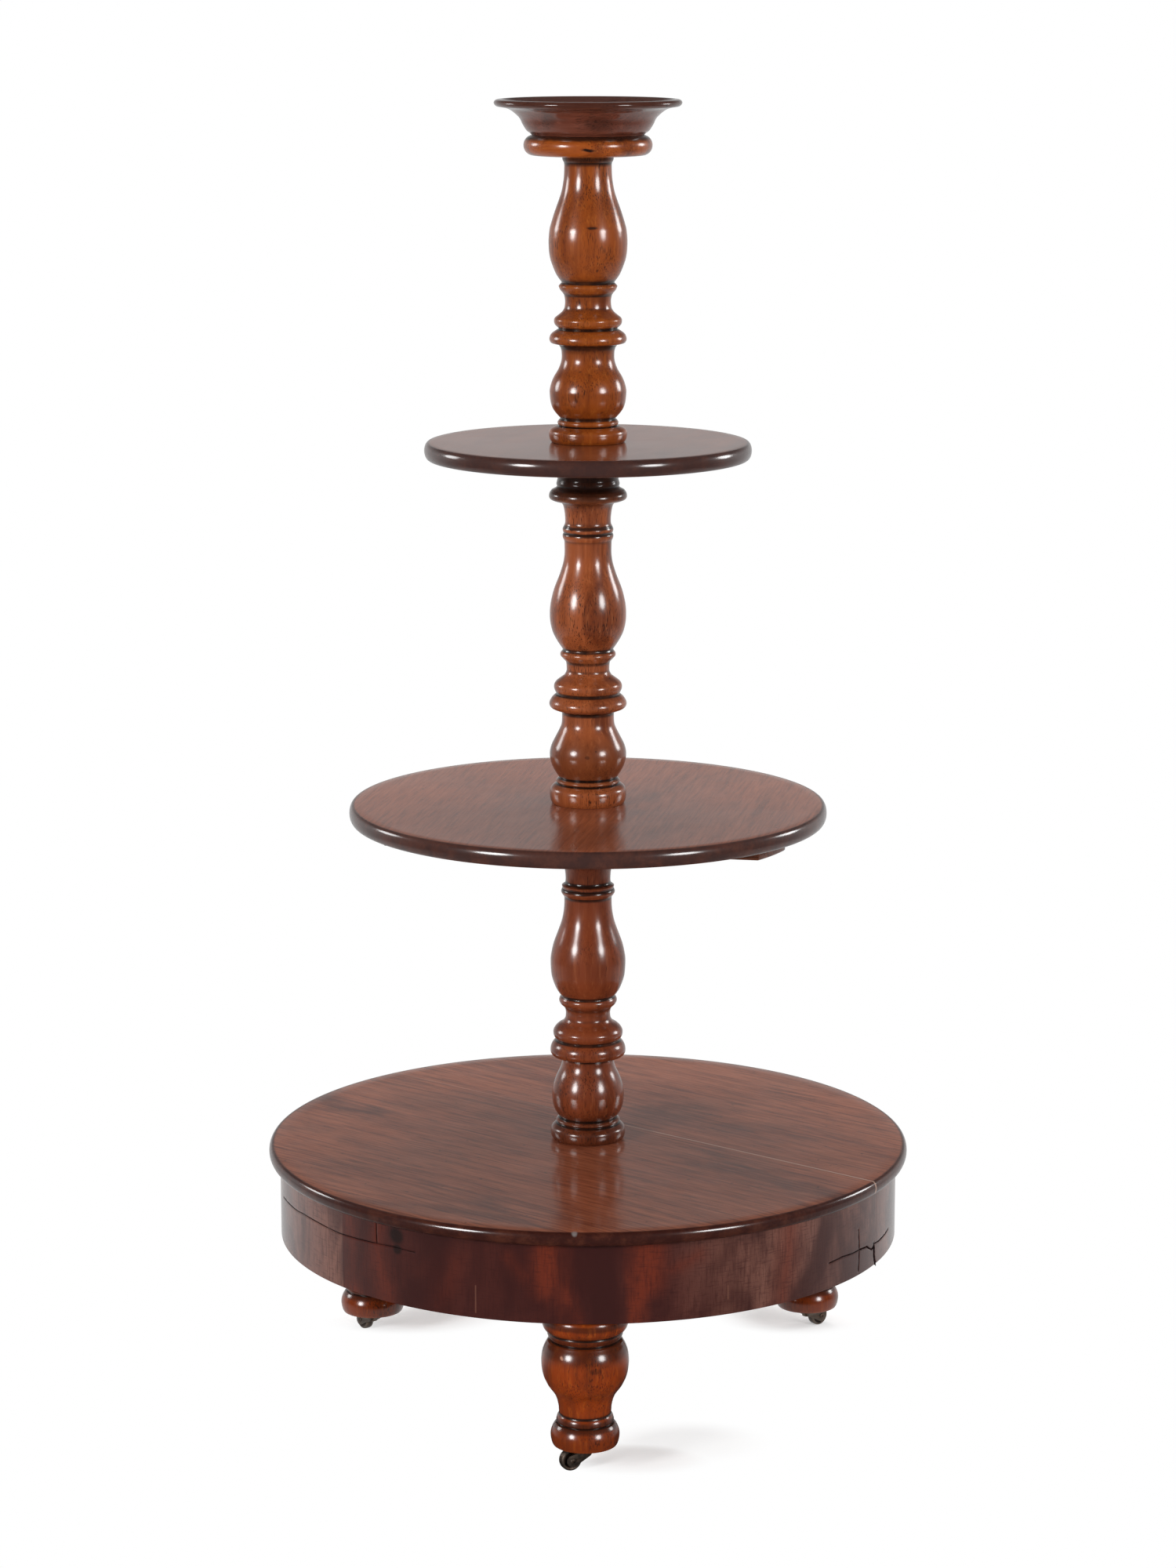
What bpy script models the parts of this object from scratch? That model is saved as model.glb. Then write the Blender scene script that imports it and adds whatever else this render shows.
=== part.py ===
"""Dumbwaiter table: a drum-shaped base on three turned legs with casters, and above it
two smaller round shelves and a shallow dish, carried one on another by turned columns.

Lengths are in metres. The origin is on the floor at the middle of the table, +Z is up
and -Y is the front, where one of the three legs stands.
"""

import math

import bmesh
import bpy
from mathutils import Matrix, Vector

# Driving dimensions from the floor up: a caster, a leg, the drum, then each board and column
foot_underside = 0.030
leg_height = 0.1586
drum_depth = 0.0934
base_top_thickness = 0.016
lower_column_height = 0.390
middle_shelf_thickness = 0.0195
middle_column_height = 0.407
upper_shelf_thickness = 0.019
upper_column_height = 0.3284
collar_height = 0.023
dish_depth = 0.0401
capital_height = 0.080

# Driving dimensions outwards from the axis
base_top_radius = 0.381
base_top_overhang = 0.013
leg_inset = 0.053
leg_radius = 0.0493
middle_shelf_radius = 0.281
upper_shelf_radius = 0.1897
column_radius = 0.045
collar_radius = 0.0738
dish_radius = 0.1076
dish_wall = 0.009

# Driving dimensions of the casters
wheel_radius = 0.01275
wheel_width = 0.0105
caster_trail = 0.0185

# Heights and radii that follow from the driving dimensions
drum_bottom = foot_underside + leg_height
drum_top = drum_bottom + drum_depth
base_top_height = drum_top + base_top_thickness
middle_shelf_height = base_top_height + lower_column_height + middle_shelf_thickness
upper_shelf_height = middle_shelf_height + middle_column_height + upper_shelf_thickness
collar_bottom = upper_shelf_height + upper_column_height
dish_bottom = collar_bottom + collar_height
drum_radius = base_top_radius - base_top_overhang
leg_circle_radius = drum_radius - leg_inset

# Clearance between pieces that rest on or sit in each other
clearance = 0.0003

# How far a cutter runs past the face that it cuts
overrun = 0.002

# Facets round each kind of turned piece
column_sides = 16
leg_sides = 16
drum_sides = 60
middle_shelf_sides = 48
upper_shelf_sides = 40
small_sides = 10

# Colour, roughness and metallic value of each finish
finishes = {
    "column": ((0.300, 0.085, 0.032, 1.0), 0.22, 0.0),
    "board": ((0.150, 0.050, 0.032, 1.0), 0.28, 0.0),
    "dish": ((0.120, 0.036, 0.026, 1.0), 0.28, 0.0),
    "veneer": ((0.105, 0.022, 0.018, 1.0), 0.26, 0.0),
    "leg": ((0.260, 0.060, 0.020, 1.0), 0.22, 0.0),
    "softwood": ((0.330, 0.200, 0.110, 1.0), 0.75, 0.0),
    "dark_metal": ((0.060, 0.048, 0.040, 1.0), 0.42, 0.9),
    "steel": ((0.220, 0.210, 0.200, 1.0), 0.45, 0.9),
}


def clear_scene():
    for item in list(bpy.data.objects):
        bpy.data.objects.remove(item, do_unlink=True)


def finish_for(name, kind):
    colour, roughness, metallic = finishes[kind]
    finish = bpy.data.materials.new(name + "_finish")
    finish.use_nodes = True
    shader = finish.node_tree.nodes["Principled BSDF"]
    shader.inputs["Base Color"].default_value = colour
    shader.inputs["Roughness"].default_value = roughness
    shader.inputs["Metallic"].default_value = metallic
    finish.diffuse_color = colour
    return finish


def new_mesh(name, bm):
    bmesh.ops.recalc_face_normals(bm, faces=bm.faces)
    mesh = bpy.data.meshes.new(name)
    bm.to_mesh(mesh)
    bm.free()
    mesh.shade_smooth()
    mesh.set_sharp_from_angle(angle=math.radians(35))
    return mesh


def place(name, mesh, kind, location=(0, 0, 0), turn=0, parent=None):
    """Put a mesh into the scene as one named piece with a finish of its own."""
    mesh = mesh.copy()
    mesh.name = name
    mesh.materials.clear()
    mesh.materials.append(finish_for(name, kind))
    piece = bpy.data.objects.new(name, mesh)
    piece.location = location
    piece.rotation_euler = (0, 0, turn)
    piece.parent = parent
    bpy.context.collection.objects.link(piece)
    return piece


def turned(outline, sides, ring=False, phase=0, circumscribed=False):
    """Spin an outline of (radius, height) points round Z.

    A point on the axis is one vertex. A ring's outline closes on itself, round a bore.
    A circumscribed piece has its flats, not its corners, at the outline's radii.
    """
    stretch = 1 / math.cos(math.pi / sides) if circumscribed else 1
    bm = bmesh.new()
    rings = []
    for radius, height in outline:
        if radius == 0:
            rings.append([bm.verts.new((0, 0, height))])
            continue
        loop = []
        for side in range(sides):
            angle = math.tau * (side + phase) / sides
            x = radius * stretch * math.cos(angle)
            y = radius * stretch * math.sin(angle)
            loop.append(bm.verts.new((x, y, height)))
        rings.append(loop)
    pairs = list(zip(rings, rings[1:]))
    if ring:
        pairs.append((rings[-1], rings[0]))
    for low, high in pairs:
        for side in range(sides):
            after = (side + 1) % sides
            corners = [low[side % len(low)], low[after % len(low)]]
            corners += [high[after % len(high)], high[side % len(high)]]
            unique = list(dict.fromkeys(corners))
            bm.faces.new(unique)
    return bm


def cylinder(radius, bottom, top, sides):
    return turned([(0, bottom), (radius, bottom), (radius, top), (0, top)], sides)


def extruded(outline, bottom, top):
    """Extrude a flat outline of (x, y) points from one height to another."""
    bm = bmesh.new()
    low = [bm.verts.new((x, y, bottom)) for x, y in outline]
    high = [bm.verts.new((x, y, top)) for x, y in outline]
    bm.faces.new(low)
    bm.faces.new(high)
    for side in range(len(outline)):
        after = (side + 1) % len(outline)
        bm.faces.new((low[side], low[after], high[after], high[side]))
    return bm


def add_to(bm, other):
    """Add a second closed shape to a bmesh."""
    mesh = bpy.data.meshes.new("extra")
    other.to_mesh(mesh)
    other.free()
    bm.from_mesh(mesh)
    bpy.data.meshes.remove(mesh)


def boolean(bm, tool, operation):
    """Cut or join two closed shapes and return the result as a bmesh."""
    items = []
    for shape in (bm, tool):
        item = bpy.data.objects.new("shape", new_mesh("shape", shape))
        item.hide_render = True
        item.display_type = "WIRE"
        bpy.context.collection.objects.link(item)
        items.append(item)
    body, other = items
    step = body.modifiers.new("step", "BOOLEAN")
    step.operation = operation
    step.solver = "EXACT"
    step.object = other
    graph = bpy.context.evaluated_depsgraph_get()
    result = bmesh.new()
    result.from_object(body, graph)
    for item in items:
        bpy.data.objects.remove(item, do_unlink=True)
    return result


def half_round(inner, outer, low, high, steps):
    """A bead or nosing: half an ellipse that swells from inner to outer and back."""
    line = []
    for step in range(steps + 1):
        angle = math.pi * step / steps
        radius = inner + (outer - inner) * math.sin(angle)
        height = (low + high) / 2 - (high - low) / 2 * math.cos(angle)
        line.append((radius, height))
    return line


# A round shelf: a flat board with a half-round nosing and a hole for the column's tenon
nosing_depth = 0.005
nosing_steps = 4
tenon_radius = 0.016
tenon_hole_radius = tenon_radius + clearance


def shelf_outline(radius, height, thickness):
    low = height - thickness
    nosing = half_round(radius - nosing_depth, radius, low, height, nosing_steps)
    return [(tenon_hole_radius, low)] + nosing + [(tenon_hole_radius, height)]


# The turned columns, by eye from one pattern and so each a little different. Each bead, hollow
# and swell of an outline is a list of (radius, height) shares of column_radius and of the
# shaft's height, from the foot up.
lower_column_shares = [
    [(0.930, 0.000), (0.975, 0.010), (0.992, 0.026), (0.975, 0.043), (0.900, 0.055), (0.815, 0.061)],
    [(0.800, 0.063), (0.835, 0.069), (0.842, 0.075), (0.765, 0.083)],
    [(0.745, 0.084), (0.800, 0.095), (0.880, 0.114), (0.935, 0.140), (0.955, 0.172), (0.948, 0.192),
     (0.905, 0.220), (0.820, 0.252), (0.740, 0.276), (0.690, 0.300), (0.685, 0.318), (0.690, 0.326)],
    [(0.800, 0.328), (0.934, 0.331), (0.985, 0.341), (0.995, 0.350), (0.987, 0.362), (0.963, 0.372),
     (0.927, 0.381), (0.853, 0.393)],
    [(0.853, 0.396), (0.907, 0.409), (0.919, 0.422), (0.906, 0.431), (0.853, 0.443), (0.773, 0.453),
     (0.694, 0.459), (0.650, 0.465), (0.607, 0.475), (0.592, 0.484), (0.587, 0.500), (0.608, 0.515)],
    [(0.640, 0.523), (0.723, 0.534), (0.763, 0.546), (0.752, 0.556), (0.712, 0.565)],
    [(0.712, 0.568), (0.790, 0.583), (0.862, 0.602), (0.940, 0.633), (0.974, 0.658), (0.989, 0.701),
     (0.973, 0.729), (0.912, 0.770), (0.806, 0.813), (0.701, 0.856), (0.647, 0.893), (0.626, 0.924),
     (0.624, 0.952)],
    [(0.632, 0.958), (0.683, 0.967), (0.708, 0.976), (0.690, 0.985), (0.672, 0.988)],
    [(0.677, 0.990), (0.686, 1.000)],
]
middle_column_shares = [
    [(0.940, 0.000), (0.985, 0.014), (1.002, 0.038), (0.975, 0.055), (0.900, 0.066), (0.815, 0.071)],
    [(0.795, 0.0725), (0.828, 0.078), (0.835, 0.083), (0.780, 0.090)],
    [(0.745, 0.092), (0.820, 0.107), (0.914, 0.129), (0.975, 0.152), (1.000, 0.180), (0.958, 0.209),
     (0.850, 0.240), (0.719, 0.276), (0.681, 0.298), (0.678, 0.327), (0.690, 0.334)],
    [(0.706, 0.335), (0.847, 0.341), (0.945, 0.347), (0.989, 0.353), (1.009, 0.361), (0.999, 0.370),
     (0.970, 0.378), (0.923, 0.387), (0.830, 0.398)],
    [(0.828, 0.401), (0.883, 0.418), (0.878, 0.433), (0.823, 0.444), (0.720, 0.455), (0.630, 0.464),
     (0.596, 0.470), (0.559, 0.481), (0.556, 0.493), (0.565, 0.510), (0.589, 0.518)],
    [(0.640, 0.525), (0.692, 0.533), (0.719, 0.538), (0.715, 0.547), (0.668, 0.555)],
    [(0.656, 0.561), (0.797, 0.590), (0.904, 0.618), (0.956, 0.641), (0.985, 0.664), (0.992, 0.685),
     (0.988, 0.706), (0.957, 0.737), (0.876, 0.780), (0.740, 0.828), (0.651, 0.867), (0.620, 0.890),
     (0.607, 0.912), (0.611, 0.945)],
    [(0.618, 0.953), (0.650, 0.962), (0.658, 0.969), (0.650, 0.975), (0.630, 0.979)],
    [(0.634, 0.981), (0.650, 0.986), (0.656, 0.994), (0.640, 1.000)],
]
upper_column_shares = [
    [(0.935, 0.000), (0.985, 0.010), (1.008, 0.028), (0.985, 0.042), (0.900, 0.051), (0.800, 0.056)],
    [(0.745, 0.057), (0.772, 0.062), (0.785, 0.069), (0.765, 0.075), (0.715, 0.082)],
    [(0.707, 0.084), (0.832, 0.103), (0.921, 0.122), (0.966, 0.144), (0.985, 0.172), (0.981, 0.186),
     (0.942, 0.208), (0.875, 0.230), (0.769, 0.254), (0.701, 0.277), (0.675, 0.296), (0.680, 0.318),
     (0.705, 0.332)],
    [(0.760, 0.343), (0.932, 0.348), (0.975, 0.354), (0.992, 0.362), (0.974, 0.373), (0.930, 0.382),
     (0.840, 0.391), (0.753, 0.398)],
    [(0.760, 0.401), (0.855, 0.414), (0.872, 0.428), (0.858, 0.434), (0.828, 0.439), (0.699, 0.453),
     (0.630, 0.464), (0.599, 0.475), (0.588, 0.497), (0.613, 0.516)],
    [(0.650, 0.524), (0.708, 0.533), (0.746, 0.544), (0.746, 0.549), (0.678, 0.559)],
    [(0.680, 0.562), (0.818, 0.589), (0.934, 0.628), (0.977, 0.650), (0.999, 0.672), (1.007, 0.705),
     (0.990, 0.735), (0.963, 0.756), (0.854, 0.805), (0.692, 0.868), (0.635, 0.905), (0.612, 0.932),
     (0.604, 0.967)],
    [(0.612, 0.976), (0.640, 0.982), (0.655, 0.989), (0.655, 1.000)],
]

# The capital under a shelf, as shares of column_radius and of capital_height
capital_shares = [
    [(0.615, 0.030), (0.595, 0.060), (0.592, 0.130), (0.608, 0.225), (0.642, 0.316), (0.697, 0.365)],
    [(0.850, 0.385), (0.928, 0.3975), (0.988, 0.420), (1.009, 0.454), (0.995, 0.500), (0.955, 0.534),
     (0.936, 0.546), (0.830, 0.575)],
    [(0.801, 0.600), (0.817, 0.637), (0.800, 0.680)],
    [(0.790, 0.700), (0.800, 0.790), (0.889, 0.850), (0.970, 0.868), (0.978, 0.878), (0.978, 1.000)],
]


def outline_from_shares(stretches, radius, bottom, height):
    return [(radius * radius_share, bottom + height * height_share)
            for stretch in stretches for radius_share, height_share in stretch]


socket_depth = 0.042
socket_tenon_length = 0.040
top_tenon_radius = 0.011
top_tenon_in_dish = 0.005
bearer_thickness = 0.026


def column(name, shares, bottom, top, tenon_length, with_capital):
    """One turned column: a tenon below its foot, and a socket or a slim tenon on top."""
    shaft_height = top - bottom - (capital_height if with_capital else 0)
    line = [(0, bottom - tenon_length), (tenon_radius, bottom - tenon_length), (tenon_radius, bottom)]
    line += outline_from_shares(shares, column_radius, bottom, shaft_height)
    if with_capital:
        start = bottom + shaft_height
        line += outline_from_shares(capital_shares, column_radius, start, capital_height)
        line += [(tenon_hole_radius, top), (tenon_hole_radius, top - socket_depth)]
        line += [(0, top - socket_depth)]
    else:
        tip = top + collar_height + top_tenon_in_dish
        line += [(top_tenon_radius, top), (top_tenon_radius, tip), (0, tip)]
    place(name, new_mesh(name, turned(line, column_sides)), "column")


# The dish on top: a shallow bowl with a broad rounded rim, on a turned collar
dish_sides = 24
dish_bore_radius = top_tenon_radius + clearance
dish_outer_shares = [(0.600, 0.000), (0.654, 0.127), (0.696, 0.304), (0.729, 0.479),
                     (0.801, 0.656), (0.860, 0.743), (0.936, 0.788), (0.974, 0.815),
                     (1.000, 0.910), (0.978, 0.985), (0.950, 1.000)]
dish_inner_shares = [(0.915, 0.984), (0.818, 0.806), (0.734, 0.613), (0.664, 0.355),
                     (0.623, 0.145), (0.558, 0.000)]
collar_waist_share = 0.855
collar_steps = 6


def make_dish():
    rim = dish_bottom + dish_depth
    floor = dish_bottom + dish_wall
    bore_top = dish_bottom + top_tenon_in_dish + clearance
    line = [(0, bore_top), (dish_bore_radius, bore_top), (dish_bore_radius, dish_bottom)]
    for radius_share, height_share in dish_outer_shares:
        line.append((dish_radius * radius_share, dish_bottom + dish_depth * height_share))
    for radius_share, height_share in dish_inner_shares:
        line.append((dish_radius * radius_share, floor + (rim - floor) * height_share))
    line.append((0, floor))
    place("dish", new_mesh("dish", turned(line, dish_sides)), "dish")

    collar_top = dish_bottom - clearance
    waist = collar_radius * collar_waist_share
    line = [(dish_bore_radius, collar_bottom)]
    line += half_round(waist, collar_radius, collar_bottom, collar_top, collar_steps)
    line += [(dish_bore_radius, collar_top)]
    collar = turned(line, dish_sides, ring=True)
    place("dish_collar", new_mesh("dish_collar", collar), "column")


# Countersunk screws, all driven upwards: (head radius, head depth, shank radius)
batten_screw_sizes = (0.0042, 0.0024, 0.0019)
batten_screw_length = 0.028
plate_screw_sizes = (0.0026, 0.0014, 0.0012)
plate_screw_length = 0.0115
screw_sides = 8


def screw_shape(sizes, length, extra=0):
    """A screw with its head at height 0, or the hole for it where extra is a clearance."""
    head, depth, shank = sizes
    line = [(0, 0), (head + extra, 0), (shank + extra, depth + extra)]
    line += [(shank + extra, length + extra), (0, length + extra)]
    if extra:
        line[:2] = [(0, -overrun), (head + extra, -overrun), (head + extra, 0)]
    return turned(line, screw_sides)


def cut_screw_holes(body, spots, height, sizes, length):
    holes = bmesh.new()
    for x, y in spots:
        hole = screw_shape(sizes, length, clearance)
        bmesh.ops.translate(hole, verts=hole.verts, vec=(x, y, height))
        add_to(holes, hole)
    return boolean(body, holes, "DIFFERENCE")


# Two battens screwed under the middle shelf, one on each side of the column
batten_thickness = 0.017
batten_inner_edge = 0.055
batten_outer_edge = 0.1165
batten_end_inset = 0.0325
batten_angle = math.radians(-10.4)
batten_screw_spread = 0.150


def turned_about_z(x, y, angle):
    return (x * math.cos(angle) - y * math.sin(angle), x * math.sin(angle) + y * math.cos(angle))


def make_middle_shelf():
    top = middle_shelf_height - middle_shelf_thickness - clearance
    bottom = top - batten_thickness
    reach = middle_shelf_radius - batten_end_inset
    inner_half = math.sqrt(reach**2 - batten_inner_edge**2)
    outer_half = math.sqrt(reach**2 - batten_outer_edge**2)
    corners = [(-outer_half, -batten_outer_edge), (outer_half, -batten_outer_edge)]
    corners += [(inner_half, -batten_inner_edge), (-inner_half, -batten_inner_edge)]
    screw_line = -(batten_inner_edge + batten_outer_edge) / 2
    all_spots = []
    for name, turn in (("front_batten", 0), ("rear_batten", math.pi)):
        angle = batten_angle + turn
        outline = [turned_about_z(x, y, angle) for x, y in corners]
        spots = [turned_about_z(side * batten_screw_spread, screw_line, angle) for side in (-1, 1)]
        body = extruded(outline, bottom, top)
        body = cut_screw_holes(body, spots, bottom, batten_screw_sizes, batten_screw_length)
        place(name, new_mesh(name, body), "board")
        for number, (x, y) in enumerate(spots, 1):
            screw = screw_shape(batten_screw_sizes, batten_screw_length)
            screw_name = name + "_screw_" + str(number)
            place(screw_name, new_mesh(screw_name, screw), "steel", (x, y, bottom))
        all_spots += spots

    outline = shelf_outline(middle_shelf_radius, middle_shelf_height, middle_shelf_thickness)
    body = turned(outline, middle_shelf_sides, ring=True)
    body = cut_screw_holes(body, all_spots, bottom, batten_screw_sizes, batten_screw_length)
    place("middle_shelf", new_mesh("middle_shelf", body), "board")


def make_upper_shelf():
    outline = shelf_outline(upper_shelf_radius, upper_shelf_height, upper_shelf_thickness)
    body = turned(outline, upper_shelf_sides, ring=True)
    place("upper_shelf", new_mesh("upper_shelf", body), "board")


# The base top: two boards glued edge to edge, off the middle and askew as in the photograph
base_joint_offset = 0.067
base_joint_angle = math.radians(50.7)


def make_base_top():
    outline = shelf_outline(base_top_radius, base_top_height, base_top_thickness)
    away = Vector((math.cos(base_joint_angle), math.sin(base_joint_angle), 0))
    for name, side in (("base_top_front_board", -1), ("base_top_rear_board", 1)):
        bm = turned(outline, drum_sides, ring=True)
        middle = away * (base_joint_offset + side * clearance / 2)
        everything = bm.verts[:] + bm.edges[:] + bm.faces[:]
        cut = bmesh.ops.bisect_plane(
            bm, geom=everything, plane_co=middle, plane_no=-side * away, clear_outer=True)
        rim = [item for item in cut["geom_cut"] if isinstance(item, bmesh.types.BMEdge)]
        bmesh.ops.contextual_create(bm, geom=rim)
        place(name, new_mesh(name, bm), "board")


# The drum under the base top: a brick-laid softwood hoop of two courses, with a veneer skin
veneer_thickness = 0.0012
core_thickness = 0.0215
upper_course_height = 0.035
core_outer_radius = drum_radius - veneer_thickness - clearance
core_inner_radius = core_outer_radius - core_thickness
segments_per_course = 5
veneer_sheets = 3
veneer_first_joint_share = 0.6


def hoop_piece(inner, outer, bottom, top, first_side, side_count):
    """A curved block on the drum's facets, with half a clearance left at each end."""
    margin = clearance / (2 * inner)
    angles = [math.tau * (first_side + side) / drum_sides for side in range(side_count + 1)]
    angles[0] += margin
    angles[-1] -= margin
    outline = [(outer * math.cos(angle), outer * math.sin(angle)) for angle in angles]
    outline += [(inner * math.cos(angle), inner * math.sin(angle)) for angle in reversed(angles)]
    return extruded_strip(outline, bottom, top)


def extruded_strip(outline, bottom, top):
    """Extrude a curved strip whose outline runs out along one side and back along the other."""
    bm = bmesh.new()
    half = len(outline) // 2
    low = [bm.verts.new((x, y, bottom)) for x, y in outline]
    high = [bm.verts.new((x, y, top)) for x, y in outline]
    for step in range(half - 1):
        back = len(outline) - 1 - step
        bm.faces.new((low[step], low[step + 1], low[back - 1], low[back]))
        bm.faces.new((high[step], high[step + 1], high[back - 1], high[back]))
    for side in range(len(outline)):
        after = (side + 1) % len(outline)
        bm.faces.new((low[side], low[after], high[after], high[side]))
    return bm


def make_drum():
    top = drum_top - clearance
    course_joint = top - upper_course_height
    courses = [("upper", course_joint, top, 0.5), ("lower", drum_bottom, course_joint - clearance, 0)]
    sides_each = drum_sides // segments_per_course
    for course, low, high, shift in courses:
        for number in range(segments_per_course):
            name = "hoop_" + course + "_segment_" + str(number + 1)
            first = int(sides_each * (number + shift))
            body = hoop_piece(core_inner_radius, core_outer_radius, low, high, first, sides_each)
            place(name, new_mesh(name, body), "softwood")

    sides_each = drum_sides // veneer_sheets
    skin_inner_radius = drum_radius - veneer_thickness
    first_side = int(drum_sides * veneer_first_joint_share)
    for number in range(veneer_sheets):
        name = "frieze_veneer_" + str(number + 1)
        first = first_side + number * sides_each
        body = hoop_piece(skin_inner_radius, drum_radius, drum_bottom, top, first, sides_each)
        place(name, new_mesh(name, body), "veneer")


# Inside the drum: a bearer under the lower column, and a block over each leg
bearer_width = 0.100
bearer_angle = math.radians(60)
block_inner_reach = 0.030
block_inner_half_width = 0.045
block_half_sides = 2
leg_tenon_radius = 0.016
leg_tenon_length = 0.060
block_angles = {"front": math.radians(-90), "right": math.radians(30), "left": math.radians(150)}

# The legs, as they stand in the photograph: the angle of each, and how much further out it is
leg_angles = {"front": math.radians(-90.6), "right": math.radians(32), "left": math.radians(150.3)}
leg_shifts = {"front": 0, "right": 0.008, "left": -0.006}


def leg_place(side):
    return turned_about_z(leg_circle_radius + leg_shifts[side], 0, leg_angles[side])


def make_bearer():
    top = drum_top - clearance
    reach = core_inner_radius * math.cos(math.pi / drum_sides) - clearance
    half_width = bearer_width / 2
    half_length = math.sqrt(reach**2 - half_width**2)
    corners = [(-half_length, -half_width), (half_length, -half_width)]
    corners += [(half_length, half_width), (-half_length, half_width)]
    outline = [turned_about_z(x, y, bearer_angle) for x, y in corners]
    body = extruded(outline, top - bearer_thickness, top)
    hole_bottom = top - bearer_thickness - overrun
    hole = cylinder(tenon_hole_radius, hole_bottom, top + overrun, column_sides)
    place("base_bearer", new_mesh("base_bearer", boolean(body, hole, "DIFFERENCE")), "softwood")


def make_leg_blocks():
    top = drum_top - clearance
    arc_radius = core_inner_radius - clearance
    step = math.tau / drum_sides
    for side, angle in block_angles.items():
        outline = []
        for facet in range(-block_half_sides, block_half_sides + 1):
            outline.append((arc_radius * math.cos(facet * step), arc_radius * math.sin(facet * step)))
        inner = leg_circle_radius - block_inner_reach
        outline += [(inner, block_inner_half_width), (inner, -block_inner_half_width)]
        body = extruded(outline, drum_bottom, top)
        bore_top = drum_bottom + leg_tenon_length
        bore = cylinder(leg_tenon_radius + clearance, drum_bottom - overrun, bore_top, leg_sides)
        x, y = turned_about_z(*leg_place(side), -angle)
        bmesh.ops.translate(bore, verts=bore.verts, vec=(x, y, 0))
        body = boolean(body, bore, "DIFFERENCE")
        name = side + "_leg_block"
        place(name, new_mesh(name, body), "softwood", turn=angle)


# A turned leg, as shares of leg_radius and of its height from the underside to the drum
leg_shares = [
    [(0.740, 0.000), (0.765, 0.015), (0.785, 0.040), (0.796, 0.069), (0.789, 0.093), (0.766, 0.116),
     (0.730, 0.140), (0.680, 0.162)],
    [(0.645, 0.168), (0.663, 0.180), (0.659, 0.190), (0.640, 0.211), (0.604, 0.230)],
    [(0.601, 0.238), (0.606, 0.258), (0.610, 0.282), (0.624, 0.306), (0.652, 0.341), (0.699, 0.376),
     (0.748, 0.400), (0.807, 0.424), (0.858, 0.447), (0.897, 0.471), (0.948, 0.506), (0.980, 0.542),
     (0.999, 0.577), (1.008, 0.612), (1.008, 0.636), (0.998, 0.671), (0.974, 0.706), (0.930, 0.742),
     (0.890, 0.765), (0.864, 0.780)],
    [(0.803, 0.790), (0.872, 0.832), (0.862, 0.848)],
    [(0.870, 0.854), (0.960, 0.880), (1.000, 0.930), (0.975, 0.972), (0.910, 1.000)],
]

# Casters: a round plate screwed under the foot, a riveted pin, a horn that turns on it, and
# an axle that carries the wheel behind the pin
plate_radius = 0.017
plate_thickness = 0.0022
plate_screw_circle = 0.0115
plate_screw_count = 3
pin_radius = 0.0022
pin_head_radius = 0.0038
pin_head_height = 0.0014
horn_top_gap = 0.0004
hub_radius = 0.0056
hub_arm_radius = 0.0050
arm_end_radius = 0.0070
arm_thickness = 0.0025
wheel_side_gap = 0.0006
wheel_tip_gap = 0.0008
hub_centre_height = 0.0205
axle_radius = 0.0020
axle_head_radius = 0.0030
axle_head_height = 0.0007
tread_width = 0.0055
tread_shoulder_drop = 0.0010
wheel_sides = 24
plate_sides = 16
slot_sides = 20

# The direction in which each wheel trails its pin, as the casters stand in the photograph
trail_angles = {"front": math.radians(205), "left": math.radians(125), "right": math.radians(40)}

plate_top = foot_underside - clearance
plate_bottom = plate_top - plate_thickness
horn_top = plate_bottom - horn_top_gap
horn_half_width = wheel_width / 2 + wheel_side_gap + arm_thickness


def plate_screw_spots():
    spots = []
    for number in range(plate_screw_count):
        spots.append(turned_about_z(plate_screw_circle, 0, math.tau * number / plate_screw_count))
    return spots


def leg_mesh():
    top = drum_bottom - clearance
    recess_radius = pin_head_radius + clearance
    recess_top = plate_top + clearance + pin_head_height + clearance
    line = [(0, recess_top), (recess_radius, recess_top), (recess_radius, foot_underside)]
    line += outline_from_shares(leg_shares, leg_radius, foot_underside, top - foot_underside)
    line += [(leg_tenon_radius, top), (leg_tenon_radius, top + leg_tenon_length - clearance)]
    line += [(0, top + leg_tenon_length - clearance)]
    body = turned(line, leg_sides)
    body = cut_screw_holes(body, plate_screw_spots(), plate_bottom, plate_screw_sizes, plate_screw_length)
    return new_mesh("leg", body)


def plate_mesh():
    bore = pin_radius + clearance
    line = [(bore, plate_bottom), (plate_radius, plate_bottom), (plate_radius, plate_top)]
    line += [(bore, plate_top)]
    body = turned(line, plate_sides, ring=True)
    body = cut_screw_holes(body, plate_screw_spots(), plate_bottom, plate_screw_sizes, plate_screw_length)
    return new_mesh("caster_plate", body)


def pin_mesh():
    hub_bottom = hub_centre_height - hub_arm_radius
    tail_top = hub_bottom - clearance
    tail_bottom = tail_top - pin_head_height
    head_bottom = plate_top + clearance
    head_top = head_bottom + pin_head_height
    line = [(0, tail_bottom), (pin_head_radius, tail_bottom), (pin_head_radius, tail_top)]
    line += [(pin_radius, tail_top), (pin_radius, head_bottom), (pin_head_radius, head_bottom)]
    line += [(pin_head_radius, head_top), (0, head_top)]
    return new_mesh("caster_pin", turned(line, small_sides))


def along_y(bm):
    """Lay a shape that was turned round Z down along Y, at the axle."""
    bmesh.ops.rotate(bm, verts=bm.verts, cent=(0, 0, 0), matrix=Matrix.Rotation(math.pi / 2, 3, "X"))
    bmesh.ops.translate(bm, verts=bm.verts, vec=(caster_trail, 0, wheel_radius))
    return bm


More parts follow.
